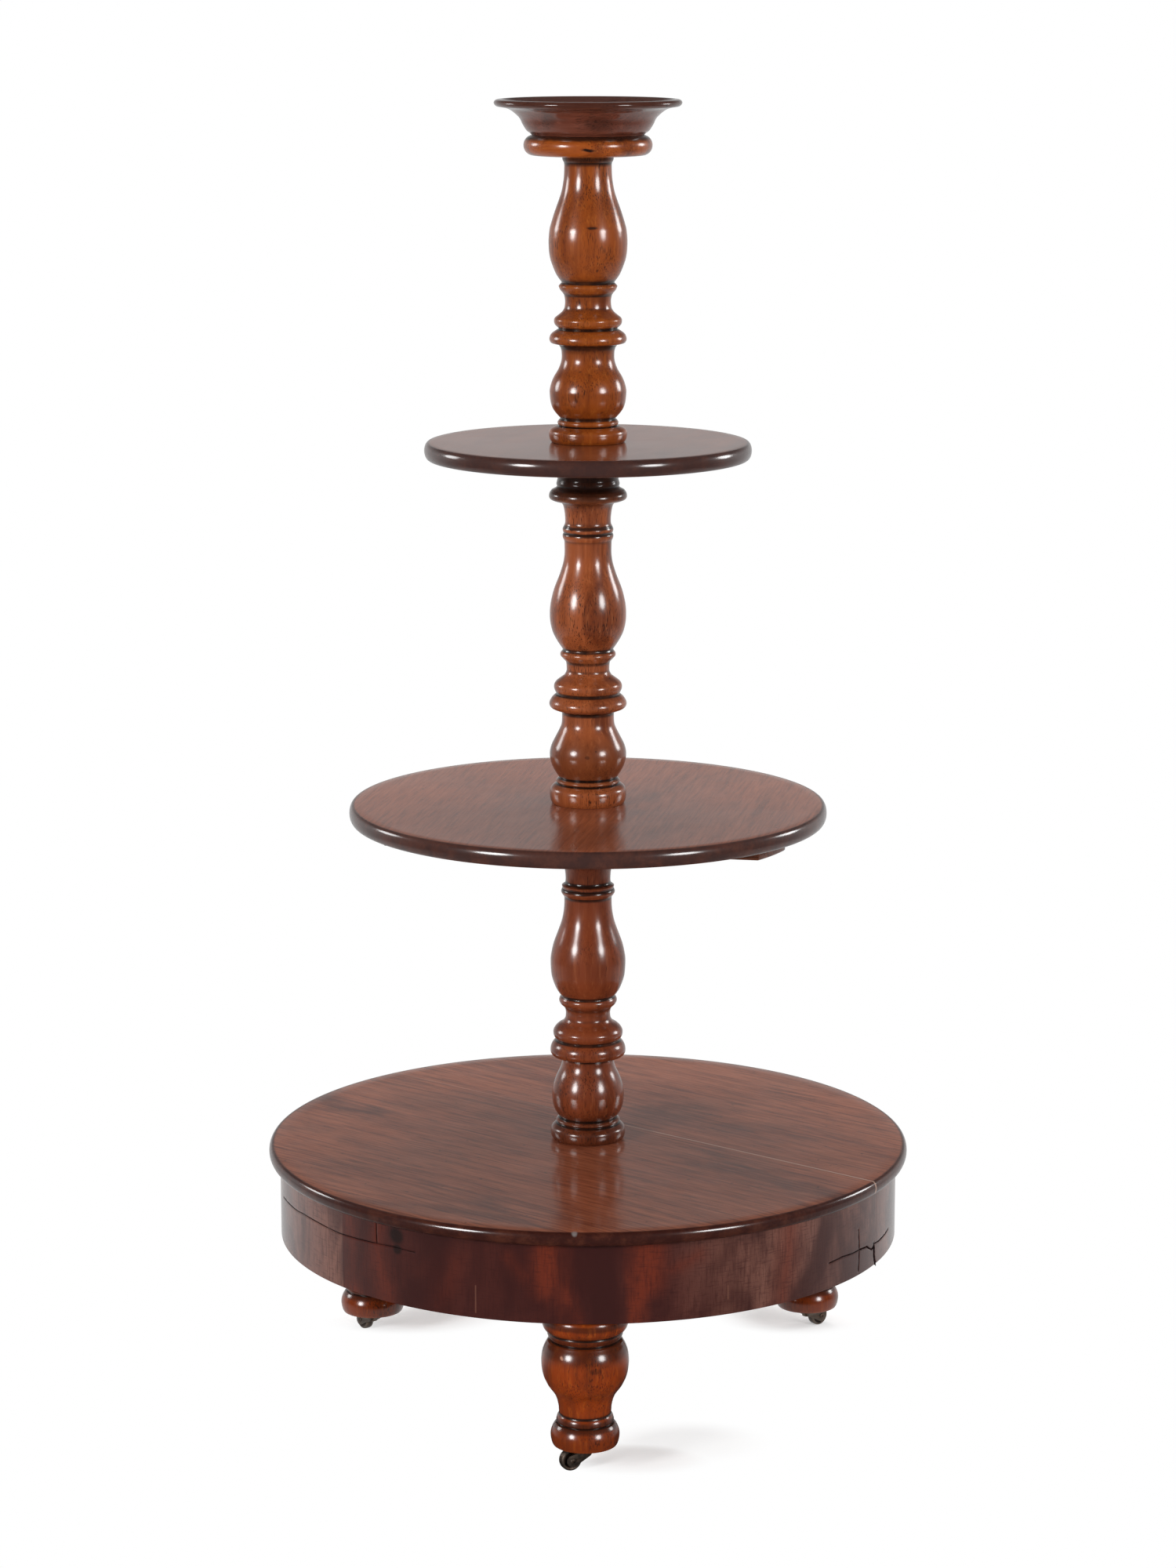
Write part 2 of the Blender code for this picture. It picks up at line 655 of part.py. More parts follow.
def arm_outline():
    """The horn's side view: two round ends, at the pin and at the axle, and their tangents."""
    rise = hub_centre_height - wheel_radius
    span = math.hypot(caster_trail, rise)
    tilt = math.atan2(-rise, caster_trail)
    lean = math.asin((arm_end_radius - hub_arm_radius) / span)
    points = []
    arc_steps = 5
    ends = [(0, hub_centre_height, hub_arm_radius, math.pi / 2 + lean, math.pi - 2 * lean)]
    ends += [(caster_trail, wheel_radius, arm_end_radius, -math.pi / 2 - lean, math.pi + 2 * lean)]
    for x, z, radius, start, sweep in ends:
        for step in range(arc_steps + 1):
            angle = tilt + start + sweep * step / arc_steps
            points.append((x + radius * math.cos(angle), z + radius * math.sin(angle)))
    return points


def horn_mesh():
    body = extruded(arm_outline(), -horn_half_width, horn_half_width)
    bmesh.ops.rotate(body, verts=body.verts, cent=(0, 0, 0), matrix=Matrix.Rotation(math.pi / 2, 3, "X"))
    hub_bottom = hub_centre_height - hub_arm_radius
    body = boolean(body, cylinder(hub_radius, hub_bottom, horn_top, small_sides), "UNION")
    slot_half = wheel_width / 2 + wheel_side_gap
    slot = along_y(cylinder(wheel_radius + wheel_tip_gap, -slot_half, slot_half, slot_sides))
    body = boolean(body, slot, "DIFFERENCE")
    reach = horn_half_width + overrun
    axle_bore = along_y(cylinder(axle_radius + clearance, -reach, reach, small_sides))
    body = boolean(body, axle_bore, "DIFFERENCE")
    bore_radius = pin_radius + clearance
    seat_radius = pin_head_radius + clearance
    seat_bottom = wheel_radius - arm_end_radius - overrun
    bore = turned([(0, seat_bottom), (seat_radius, seat_bottom), (seat_radius, hub_bottom),
                   (bore_radius, hub_bottom), (bore_radius, horn_top + overrun),
                   (0, horn_top + overrun)], small_sides)
    return new_mesh("caster_horn", boolean(body, bore, "DIFFERENCE"))


def axle_mesh():
    inner = horn_half_width + clearance
    outer = inner + axle_head_height
    line = [(0, -outer), (axle_head_radius, -outer), (axle_head_radius, -inner), (axle_radius, -inner)]
    line += [(axle_radius, inner), (axle_head_radius, inner), (axle_head_radius, outer), (0, outer)]
    return new_mesh("caster_axle", along_y(turned(line, small_sides)))


def wheel_mesh():
    half = wheel_width / 2
    tread_half = tread_width / 2
    shoulder = wheel_radius - tread_shoulder_drop
    bore = axle_radius + clearance
    line = [(bore, -half), (shoulder, -half), (wheel_radius, -tread_half), (wheel_radius, tread_half)]
    line += [(shoulder, half), (bore, half)]
    body = turned(line, wheel_sides, ring=True, phase=0.5, circumscribed=True)
    bmesh.ops.rotate(body, verts=body.verts, cent=(0, 0, 0), matrix=Matrix.Rotation(math.pi / 2, 3, "X"))
    return new_mesh("caster_wheel", body)


def make_legs_and_casters():
    leg, plate, pin = leg_mesh(), plate_mesh(), pin_mesh()
    horn, axle, wheel = horn_mesh(), axle_mesh(), wheel_mesh()
    screw = new_mesh("plate_screw", screw_shape(plate_screw_sizes, plate_screw_length))
    for side, angle in leg_angles.items():
        x, y = leg_place(side)
        place(side + "_leg", leg, "leg", (x, y, 0), turn=angle)
        place(side + "_caster_plate", plate, "dark_metal", (x, y, 0), turn=angle)
        place(side + "_caster_pin", pin, "dark_metal", (x, y, 0))
        for count, (spot_x, spot_y) in enumerate(plate_screw_spots(), 1):
            turned_x, turned_y = turned_about_z(spot_x, spot_y, angle)
            name = side + "_plate_screw_" + str(count)
            place(name, screw, "steel", (x + turned_x, y + turned_y, plate_bottom), turn=angle)
        swivel = bpy.data.objects.new(side + "_swivel_axis", None)
        swivel.location = (x, y, 0)
        swivel.rotation_euler = (0, 0, trail_angles[side])
        bpy.context.collection.objects.link(swivel)
        place(side + "_caster_horn", horn, "dark_metal", parent=swivel)
        place(side + "_caster_axle", axle, "dark_metal", parent=swivel)
        place(side + "_caster_wheel", wheel, "dark_metal", (caster_trail, 0, wheel_radius), parent=swivel)


def make_columns():
    bottom = base_top_height
    tenon_length = base_top_thickness + bearer_thickness + clearance
    column("lower_column", lower_column_shares, bottom + clearance,
           bottom + lower_column_height - clearance, tenon_length, True)
    bottom = middle_shelf_height
    tenon_length = middle_shelf_thickness + socket_tenon_length
    column("middle_column", middle_column_shares, bottom + clearance,
           bottom + middle_column_height - clearance, tenon_length, True)
    bottom = upper_shelf_height
    tenon_length = upper_shelf_thickness + socket_tenon_length
    column("upper_column", upper_column_shares, bottom + clearance,
           bottom + upper_column_height - clearance, tenon_length, False)


clear_scene()
make_base_top()
make_drum()
make_bearer()
make_leg_blocks()
make_legs_and_casters()
make_middle_shelf()
make_upper_shelf()
make_columns()
make_dish()
bpy.context.view_layer.update()
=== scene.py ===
import math

import bmesh
import bpy
from mathutils import Matrix, Vector, noise


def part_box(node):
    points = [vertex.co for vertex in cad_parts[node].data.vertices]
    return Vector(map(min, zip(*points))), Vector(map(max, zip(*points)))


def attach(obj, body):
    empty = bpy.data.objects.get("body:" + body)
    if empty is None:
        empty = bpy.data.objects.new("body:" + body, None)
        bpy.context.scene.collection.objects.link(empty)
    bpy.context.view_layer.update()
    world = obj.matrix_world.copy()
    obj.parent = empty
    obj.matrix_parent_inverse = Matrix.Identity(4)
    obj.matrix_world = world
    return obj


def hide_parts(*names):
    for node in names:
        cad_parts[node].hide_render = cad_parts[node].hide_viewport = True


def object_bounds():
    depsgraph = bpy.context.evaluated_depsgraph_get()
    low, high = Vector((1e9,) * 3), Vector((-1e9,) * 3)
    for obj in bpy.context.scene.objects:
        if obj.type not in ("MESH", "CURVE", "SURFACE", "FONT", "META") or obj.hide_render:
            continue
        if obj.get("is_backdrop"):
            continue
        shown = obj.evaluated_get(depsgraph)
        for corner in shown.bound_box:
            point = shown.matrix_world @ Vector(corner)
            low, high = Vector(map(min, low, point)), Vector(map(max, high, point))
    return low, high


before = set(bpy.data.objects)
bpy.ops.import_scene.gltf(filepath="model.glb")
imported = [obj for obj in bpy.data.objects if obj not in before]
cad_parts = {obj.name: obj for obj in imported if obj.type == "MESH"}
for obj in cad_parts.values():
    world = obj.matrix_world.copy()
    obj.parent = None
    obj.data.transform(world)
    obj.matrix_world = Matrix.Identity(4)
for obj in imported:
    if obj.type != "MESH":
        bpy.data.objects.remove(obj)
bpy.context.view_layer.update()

# The hoop of the drum.
# Ten curved blocks of sawn red pine, glued up like bricks in two courses: the end joints of
# one course lie over the middle of the blocks in the other. They show only inside the drum.

pine_deep = (0.120, 0.055, 0.022, 1.0)
pine_pale = (0.330, 0.185, 0.085, 1.0)
pine_dust = (0.060, 0.045, 0.035, 1.0)
pine_roughness = 0.82


def feed(source, socket):
    """Give a socket a plain value, or join another node's output to it."""
    if isinstance(source, bpy.types.NodeSocket):
        socket.id_data.links.new(source, socket)
    else:
        socket.default_value = source


def step(kind, inputs=(), output=0, block=None, **settings):
    """Add one node and return the output that is used next. The node joins those that feed it,
    or else belongs to the given material or world."""
    fed_by = [source.id_data for socket, source in inputs if isinstance(source, bpy.types.NodeSocket)]
    made = (fed_by[0] if fed_by else block.node_tree).nodes.new("ShaderNode" + kind)
    for setting, value in settings.items():
        setattr(made, setting, value)
    for socket, source in inputs:
        feed(source, made.inputs[socket])
    return made.outputs[output]


def new_finish(name, roughness):
    """A finish named after its surface, the shader that it ends in, and the place on the piece."""
    finish = bpy.data.materials.new(name)
    finish.use_nodes = True
    shader = finish.node_tree.nodes["Principled BSDF"]
    shader.inputs["Roughness"].default_value = roughness
    return finish, shader, step("TexCoord", output="Object", block=finish)


def patches(place, size, detail=3.0, roughness=0.5, warp=0.0):
    """Cloudy patches. The size counts patches in a metre."""
    inputs = [("Vector", place), ("Scale", size), ("Detail", detail)]
    inputs += [("Roughness", roughness), ("Distortion", warp)]
    return step("TexNoise", inputs)


def stretched_patches(place, counts, *look):
    """Patches with a count in a metre of their own along X, Y and Z."""
    stretched = step("Mapping", [("Vector", place), ("Scale", counts)])
    return patches(stretched, 1.0, *look)


def grain_patches(place, turn, along, across, *look):
    """Patches drawn out along the grain, which the turn brings to X."""
    lined_up = step("Mapping", [("Vector", place), ("Rotation", turn)])
    return stretched_patches(lined_up, (along, across, across), *look)


def between(value, low, high, first=0.0, last=1.0):
    """Rescale a value from low..high to first..last, held at both ends."""
    inputs = [("Value", value), ("From Min", low), ("From Max", high)]
    inputs += [("To Min", first), ("To Max", last)]
    return step("MapRange", inputs, interpolation_type="SMOOTHSTEP")


def sum_up(kind, first, second=0.0):
    return step("Math", [(0, first), (1, second)], operation=kind)


def tinted(amount, first, second, way="MIX"):
    """Lay the second colour over the first by the given amount."""
    return step("Mix", [(0, amount), (6, first), (7, second)], 2, data_type="RGBA", blend_type=way)


def raised(height, distance, under=None):
    """Turn a height into relief, on top of the relief that is already there."""
    inputs = [("Height", height), ("Distance", distance), ("Strength", 1.0)]
    if under is not None:
        inputs.append(("Normal", under))
    return step("Bump", inputs)


def layered(colour, *layers):
    """Lay colours over a first one. A layer is a value, the two ends of it that count, how
    much of the colour shows at each end, and the colour."""
    for value, low, high, first, last, over in layers:
        colour = tinted(between(value, low, high, first, last), colour, over)
    return colour


def surfaced(shader, colour, cloud, dullness, *reliefs):
    """Give a shader its colour, a roughness that follows a cloud, and its heights."""
    feed(colour, shader.inputs["Base Color"])
    feed(between(cloud, *dullness), shader.inputs["Roughness"])
    relief = None
    for height, distance in reliefs:
        relief = raised(height, distance, relief)
    feed(relief, shader.inputs["Normal"])


def sawn_pine(name, turn):
    finish, shader, place = new_finish(name, pine_roughness)
    rings = grain_patches(place, turn, 3.0, 60.0, 4.0, 0.6, 0.3)
    fibre = grain_patches(place, turn, 40.0, 900.0, 2.0)
    saw_marks = grain_patches(place, turn, 420.0, 12.0, 2.0)
    dust = patches(place, 9.0, 5.0, 0.65)
    colour = layered(pine_deep,
                     (rings, 0.35, 0.65, 0.0, 1.0, pine_pale),
                     (fibre, 0.45, 0.75, 0.0, 0.35, pine_deep),
                     (dust, 0.45, 0.75, 0.1, 0.75, pine_dust))
    surfaced(shader, colour, dust, (0.3, 0.7, 0.72, 0.92), (saw_marks, 0.0006), (fibre, 0.0003))
    return finish


def refinish(node, finish):
    """Give a piece that keeps its CAD shape its finish."""
    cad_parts[node].data.materials.clear()
    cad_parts[node].data.materials.append(finish)


blocks_in_course = 5
hoop_turn = (0.0, 0.0, 0.4)
hoop_pine = sawn_pine("hoop_pine", hoop_turn)
for course in ("upper", "lower"):
    for number in range(1, blocks_in_course + 1):
        refinish("hoop_" + course + "_segment_" + str(number), hoop_pine)

# The bearer and the three leg blocks.
# Plain sawn pine, glued and nailed inside the drum. The bearer crosses it under the base
# top and takes the lower column's tenon. Each block is bored for the tenon of a leg.

bearer_turn = (0.0, 0.0, math.radians(-60))
refinish("base_bearer", sawn_pine("bearer_pine", bearer_turn))
block_pine = sawn_pine("block_pine", (0.0, math.radians(90), 0.0))
for side in ("front", "right", "left"):
    refinish(side + "_leg_block", block_pine)

# The veneer round the drum.
# Three sheets of flame mahogany, sawn a millimetre thick and glued over the hoop. They have
# split where the hoop shrank at its joints, and each black gap is a thin strip of its own.

drum_radius = 0.368
drum_low, drum_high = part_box("frieze_veneer_1")
veneer_bottom = drum_low.z
veneer_top = drum_high.z
veneer_thickness = 0.0012
veneer_gap = 0.0003
veneer_spacing = 0.0011
veneer_ripple = 0.00012
ripple_along = 22
ripple_up = 9
ripple_start = 3.1
split_depth = 0.0009
split_half_width = 0.0012
gap_half_width = 0.0008
gap_step = 0.0012
gap_sunk = 0.00004
gap_thickness = 0.0004
gap_taper = 4
gap_tear_size = 400
gap_tear_least = 0.49
gap_tear_reach = 1.26
gap_sides_apart = 5.3
flame_wander = 0.007
wander_along = 30
wander_up = 12
wander_start = 0.4
scratch_width = 0.0017
sheet_count = 3
first_joint = math.radians(216)
sheet_sweep = math.radians(120)
left_sheet_edge = drum_radius * math.cos(math.radians(220.6))
# Where across X, in metres, the painted sheen lies on the right of the drum
painted_sheen_span = (0.06, 0.22)

# Splits as runs of (angle round the drum in degrees, height), each with how far it has opened
veneer_splits = [
    (0.30, [(192.0, 0.2462), (194.8, 0.2477), (202.7, 0.2498), (206.0, 0.2520), (209.7, 0.2524),
            (213.0, 0.2525), (219.5, 0.2515), (224.4, 0.2529), (229.4, 0.2543)]),
    (0.25, [(229.3, 0.2815), (229.3, 0.2691), (229.4, 0.2543)]),
    (0.12, [(229.4, 0.2543), (233.1, 0.2552), (238.0, 0.2540)]),
    (0.60, [(318.5, 0.2189), (322.7, 0.2200), (326.1, 0.2183), (328.5, 0.2184)]),
    (1.20, [(328.5, 0.2184), (331.6, 0.2165), (333.8, 0.2093), (334.9, 0.2110)]),
    (3.20, [(334.8, 0.2150), (335.1, 0.1973), (336.0, 0.1850)]),
    (0.80, [(334.8, 0.2140), (337.7, 0.2126), (341.4, 0.2134), (344.0, 0.2150)]),
    (0.22, [(328.1, 0.2440), (328.5, 0.2184), (328.2, 0.1930)]),
]

# The feather in the front sheet, as runs of (angle, height) with a half width and a strength
flame_runs = [
    (0.034, 1.00, [(264.0, 0.2850), (263.4, 0.2620), (264.0, 0.2350)]),
    (0.024, 0.90, [(264.6, 0.2350), (267.0, 0.2120), (268.0, 0.1880)]),
    (0.018, 0.50, [(262.4, 0.2350), (258.8, 0.2460), (256.6, 0.2600)]),
    (0.034, 1.00, [(280.4, 0.2850), (280.6, 0.2620), (280.4, 0.2350)]),
    (0.026, 0.85, [(280.0, 0.2350), (278.4, 0.2120), (277.6, 0.1880)]),
    (0.018, 0.38, [(281.0, 0.2400), (286.0, 0.2500), (289.6, 0.2620)]),
    (0.034, 0.52, [(308.6, 0.2850), (308.6, 0.2450), (307.0, 0.1880)]),
    (0.044, 0.55, [(222.5, 0.2850), (223.5, 0.1800)]),
    (0.040, 0.42, [(229.5, 0.2850), (230.0, 0.2400), (232.5, 0.1800)]),
    (0.026, 0.26, [(246.0, 0.2500), (242.0, 0.1900)]),
]
# The dark spine between the two halves of the feather, with its half width
spine_run = (0.030, [(272.0, 0.2850), (272.4, 0.2350), (273.0, 0.1880)])
veneer_scratches = [(250.0, 0.2263, 0.1950), (295.3, 0.2219, 0.2063)]
stain_spots = [(234.0, 0.2689, 0.0130), (234.1, 0.2532, 0.0080)]

veneer_dark = (0.036, 0.0085, 0.0075, 1.0)
veneer_body = (0.066, 0.0150, 0.0110, 1.0)
veneer_flame = (0.138, 0.0215, 0.0085, 1.0)
# The left sheet's own tone, also painted as a sheen on the right of the drum
veneer_left_and_sheen = (0.205, 0.0860, 0.0620, 1.0)
split_black = (0.004, 0.002, 0.002, 1.0)
scratch_pale = (0.190, 0.0800, 0.0500, 1.0)
polish_black = (0.012, 0.0055, 0.0050, 1.0)
veneer_roughness = 0.42
veneer_coat_roughness = 0.13
veneer_waves = 16.0
wave_height = 0.00022
gap_roughness = 0.95


def distance_to_run(point, run):
    """How far a point is from a run of straight lines, all in metres on the unrolled drum."""
    nearest = 1.0
    for start, end in zip(run, run[1:]):
        span = end - start
        share = max(0.0, min(1.0, (point - start).dot(span) / span.length_squared))
        nearest = min(nearest, (point - start - span * share).length)
    return nearest


def unrolled(run):
    return [Vector((math.radians(angle) * drum_radius, height)) for angle, height in run]


def add_values(mesh, name, values):
    """Keep one value for each vertex, for the finish to read."""
    layer = mesh.attributes.new(name, "FLOAT", "POINT")
    layer.data.foreach_set("value", values)


def plain_mesh(name, bm):
    mesh = bpy.data.meshes.new(name)
    bm.to_mesh(mesh)
    bm.free()
    return mesh


def smooth_all(mesh, crease_angle=40):
    mesh.shade_smooth()
    mesh.set_sharp_from_angle(angle=math.radians(crease_angle))
    return mesh


def finished_mesh(name, bm, crease_angle=40):
    return smooth_all(plain_mesh(name, bm), crease_angle)


def new_object(name, data):
    made = bpy.data.objects.new(name, data)
    bpy.context.collection.objects.link(made)
    return made


def put_in_place(mesh, finish, body, material_slot, *nodes):
    """Set a finished piece on its body, in the place of the CAD nodes that it stands for."""
    mesh.materials.append(finish)
    piece = new_object(mesh.name, mesh)
    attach(piece, body)
    if nodes:
        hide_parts(*nodes)


def nearness(point, run, reach):
    """1 on a run of lines, falling to 0 at the given reach."""
    ends = [spot.x for spot in run]
    if not min(ends) - reach < point.x < max(ends) + reach:
        return 0.0
    return max(0.0, 1.0 - distance_to_run(point, run) / reach)


def veneer_marks(point):
    """How much split, flame, stain and scratch there is at a point of the unrolled drum."""
    split = 0.0
    for opening, run in split_lines:
        split = max(split, nearness(point, run, split_half_width * (1.0 + 0.6 * opening)))
    wander = Vector((point.x * wander_along, point.y * wander_up, wander_start))
    drift = Vector((noise.noise(wander), noise.noise(wander * 1.7))) * flame_wander
    flame = 0.0
    for half_width, strength, run in flame_lines:
        flame = max(flame, strength * nearness(point + drift, run, half_width))
    flame -= nearness(point + drift, spine_line, spine_run[0])
    stain = max(nearness(point + drift * 0.3, [spot, spot + Vector((0, 0.001))], reach)
                for spot, reach in stain_places)
    scratch = max(nearness(point, run, scratch_width) for run in scratch_lines)
    return split, flame, stain, scratch


def veneer_sheet(name, start_angle):
    """A curved sheet: a fine grid outside, one face a column inside, and the four edges."""
    margin = veneer_gap / drum_radius
    across = int(drum_radius * sheet_sweep / veneer_spacing)
    up = int((veneer_top - veneer_bottom) / veneer_spacing)
    bm = bmesh.new()
    marks = {"split": [], "feather": [], "stain": [], "scratch": []}
    skins = []
    for outer in (True, False):
        rows = []
        for row in range(up + 1) if outer else (0, up):
            z = veneer_bottom + (veneer_top - veneer_bottom) * row / up
            line = []
            for column in range(across + 1):
                angle = start_angle + margin / 2 + (sheet_sweep - margin) * column / across
                point = Vector((angle % math.tau * drum_radius, z))
                values = veneer_marks(point) if outer else (0.0, 0.0, 0.0, 0.0)
                radius = drum_radius - veneer_thickness
                if outer:
                    crest = Vector((point.x * ripple_along, z * ripple_up, ripple_start))
                    ripple = noise.noise(crest) * veneer_ripple
                    radius = drum_radius + ripple - veneer_ripple - split_depth * min(values[0], 1.0)
                line.append(bm.verts.new((radius * math.cos(angle), radius * math.sin(angle), z)))
                for kind, value in zip(marks.values(), values):
                    kind.append(min(value, 1.0))
            rows.append(line)
        skins.append(rows)
    outside, inside = skins
    for row in range(up):
        for column in range(across):
            bm.faces.new((outside[row][column], outside[row][column + 1],
                          outside[row + 1][column + 1], outside[row + 1][column]))
    for column in range(across):
        bm.faces.new((inside[0][column], inside[1][column],
                      inside[1][column + 1], inside[0][column + 1]))
        for outer_row, inner_row in ((outside[0], inside[0]), (outside[-1], inside[1])):
            bm.faces.new((outer_row[column], outer_row[column + 1],
                          inner_row[column + 1], inner_row[column]))
    for column in (0, -1):
        bm.faces.new([row[column] for row in outside] + [inside[1][column], inside[0][column]])
    bmesh.ops.recalc_face_normals(bm, faces=bm.faces)
    mesh = finished_mesh(name, bm)
    for kind, values in marks.items():
        add_values(mesh, kind, values)
    return mesh


def mark(finish, name):
    return step("Attribute", output="Fac", block=finish, attribute_name=name)


def part_of(place, axis):
    return step("SeparateXYZ", [("Vector", place)], axis)


def varnish(shader, roughness, waves=None):
    """The clear polish over a wood: it carries the gloss, and the wood below it is dull."""
    shader.inputs["Specular IOR Level"].default_value = 0.08
    shader.inputs["Coat Weight"].default_value = 1.0
    shader.inputs["Coat Roughness"].default_value = roughness
    if waves is not None:
        feed(raised(waves, wave_height), shader.inputs["Coat Normal"])


def flame_veneer(name):
    """Crotch mahogany: a bright feather beside a dark spine, cross-flecked, under old polish."""
    finish, shader, place = new_finish(name, veneer_roughness)
    clouds = stretched_patches(place, (14.0, 14.0, 8.0), 3.0, 0.55, 0.6)
    threads = stretched_patches(place, (420.0, 420.0, 40.0), 3.0, 0.6)
    flecks = stretched_patches(place, (60.0, 60.0, 700.0), 2.0, 0.6)
    pores = stretched_patches(place, (1500.0, 1500.0, 110.0), 1.0)
    pits = between(pores, 0.60, 0.70)
    # The left sheet has its own greyer, duller tone; towards the right the same tone is a painted sheen.
    sideways = part_of(place, "X")
    left = between(sideways, left_sheet_edge, left_sheet_edge - 0.002)
    right = between(sideways, *painted_sheen_span)
    left_sheet_and_sheen = sum_up("MULTIPLY", sum_up("ADD", left, right), 0.98)
    body = tinted(left_sheet_and_sheen, veneer_body, veneer_left_and_sheen)
    glow = between(clouds, 0.30, 0.6, 0.35, 1.0)
    glow = sum_up("MULTIPLY", mark(finish, "feather"), glow)
    glow = sum_up("MULTIPLY", glow, sum_up("SUBTRACT", 1.0, left))
    colour = layered(veneer_dark,
                     (clouds, 0.36, 0.66, 0.1, 0.85, body),
                     (glow, 0.0, 0.80, 0.0, 0.92, veneer_flame),
                     (glow, 0.0, -0.50, 0.0, 0.90, veneer_dark),
                     (threads, 0.44, 0.72, 0.0, 0.50, veneer_dark),
                     (flecks, 0.50, 0.72, 0.0, 0.45, veneer_dark),
                     (pores, 0.60, 0.70, 0.0, 0.4, veneer_dark),
                     (mark(finish, "stain"), 0.05, 0.6, 0.0, 0.85, polish_black),
                     (mark(finish, "scratch"), 0.2, 0.9, 0.0, 0.5, scratch_pale),
                     (mark(finish, "split"), 0.20, 0.90, 0.0, 0.6, split_black))
    bloom = patches(place, 7.0, 4.0, 0.6)
    surfaced(shader, colour, bloom, (0.35, 0.7, 0.38, 0.52), (threads, 0.00005), (pits, -0.00005))
    varnish(shader, veneer_coat_roughness, patches(place, veneer_waves, 2.0))
    return finish


def dusty_gap(name):
    """Old glue and dust at the bottom of a split: black, dry and dull."""
    finish, shader, place = new_finish(name, gap_roughness)
    dust = patches(place, 500.0, 3.0)
    colour = layered(split_black, (dust, 0.4, 0.8, 0.0, 1.0, veneer_dark))
    feed(colour, shader.inputs["Base Color"])
    shader.inputs["Specular IOR Level"].default_value = 0.05
    feed(raised(dust, 0.0003), shader.inputs["Normal"])
    return finish


def torn_gap(opening, run):
    """The gap of a split, as a thin strip with torn edges that lies in its groove."""
    bm = bmesh.new()
    stations = []
    for start, end in zip(run, run[1:]):
        count = max(1, round((end - start).length / gap_step))
        stations += [(start.lerp(end, share / count), end - start) for share in range(count)]
    stations.append((run[-1], run[-1] - run[-2]))
    before = None
    for number, (middle, heading) in enumerate(stations):
        aside = Vector((-heading.y, heading.x)).normalized() * gap_half_width * opening
        taper = min(1.0, (number + 0.3) / gap_taper, (len(stations) - number - 0.7) / gap_taper)
        corners = []
        for side in (-1, 1):
            rough = Vector((middle.x * gap_tear_size, middle.y * gap_tear_size, side * gap_sides_apart))
            tear = gap_tear_least + gap_tear_reach * abs(noise.noise(rough))
            edge = middle + aside * side * taper * tear
            turn = edge.x / drum_radius
            for radius in (drum_radius - gap_sunk, drum_radius - gap_sunk - gap_thickness)[::side]:
                corners.append(bm.verts.new((radius * math.cos(turn), radius * math.sin(turn), edge.y)))
        if before:
            for one in range(4):
                bm.faces.new((before[one], before[one - 3], corners[one - 3], corners[one]))
        else:
            bm.faces.new(corners)
        before = corners
    bm.faces.new(before)
    bmesh.ops.recalc_face_normals(bm, faces=bm.faces)
    return bm


split_lines = [(opening, unrolled(run)) for opening, run in veneer_splits]
flame_lines = [(half_width, strength, unrolled(run)) for half_width, strength, run in flame_runs]
spine_line = unrolled(spine_run[1])
stain_places = [(unrolled([(angle, height)])[0], reach) for angle, height, reach in stain_spots]
scratch_lines = [unrolled([(angle, top), (angle, bottom)]) for angle, top, bottom in veneer_scratches]
frieze_flame = flame_veneer("frieze_flame")
for number in range(sheet_count):
    node = "frieze_veneer_" + str(number + 1)
    sheet = veneer_sheet(node + "_sheet", first_joint + sheet_sweep * number)
    put_in_place(sheet, frieze_flame, "table", "flame_veneer", node)
gap_finish = dusty_gap("split_dust")
for number, (opening, run) in enumerate(split_lines):
    gap = finished_mesh("frieze_split_" + str(number + 1), torn_gap(opening, run))
    put_in_place(gap, gap_finish, "table", "flame_veneer")

# The base top.
# Two mahogany boards glued edge to edge, planed, and turned to a round with a half-round
# nosing. The joint has opened a hair and shows pale. Polished, with old stains, specks and a chip.

nosing_depth = 0.005
nosing_steps = 12
base_sides = 240
top_rings = 22
tenon_hole_radius = 0.0163
joint_gap = 0.0003
joint_offset = 0.067
joint_direction = math.radians(50.7)
base_grain_angle = math.radians(-39.3)

board_deep = (0.125, 0.0300, 0.0130, 1.0)
board_body = (0.215, 0.0620, 0.0275, 1.0)
board_bright = (0.320, 0.1080, 0.0500, 1.0)
edge_dark = (0.030, 0.0065, 0.0045, 1.0)
shelf_edge = (0.042, 0.0190, 0.0165, 1.0)
chip_grey = (0.300, 0.2800, 0.2700, 1.0)
joint_pale = (0.480, 0.3000, 0.2300, 1.0)
board_roughness = 0.42
board_coat_roughness = 0.15
board_waves = 12.0
nosing_dark_inner = 0.0075
nosing_dark_outer = 0.0040


def turned_round(outline, sides, ring=False, unevenness=0.0):
    """Turn an outline of (radius, height) points round Z, with the slight waver of hand work."""
    bm = bmesh.new()
    rings = []
    for radius, height in outline:
        if radius == 0:
            rings.append([bm.verts.new((0, 0, height))])
            continue
        loop = []
        for side in range(sides):
            angle = math.tau * side / sides
            waver = noise.noise(Vector((math.cos(angle) * 2, math.sin(angle) * 2, height * 30)))
            real = radius - unevenness * (1 - waver) / 2
            loop.append(bm.verts.new((real * math.cos(angle), real * math.sin(angle), height)))
        rings.append(loop)
    pairs = list(zip(rings, rings[1:]))
    if ring:
        pairs.append((rings[-1], rings[0]))
    for low, high in pairs:
        for side in range(sides):
            after = (side + 1) % sides
            corners = [low[side % len(low)], low[after % len(low)]]
            corners += [high[after % len(high)], high[side % len(high)]]
            bm.faces.new(list(dict.fromkeys(corners)))
    bmesh.ops.recalc_face_normals(bm, faces=bm.faces)
    return bm


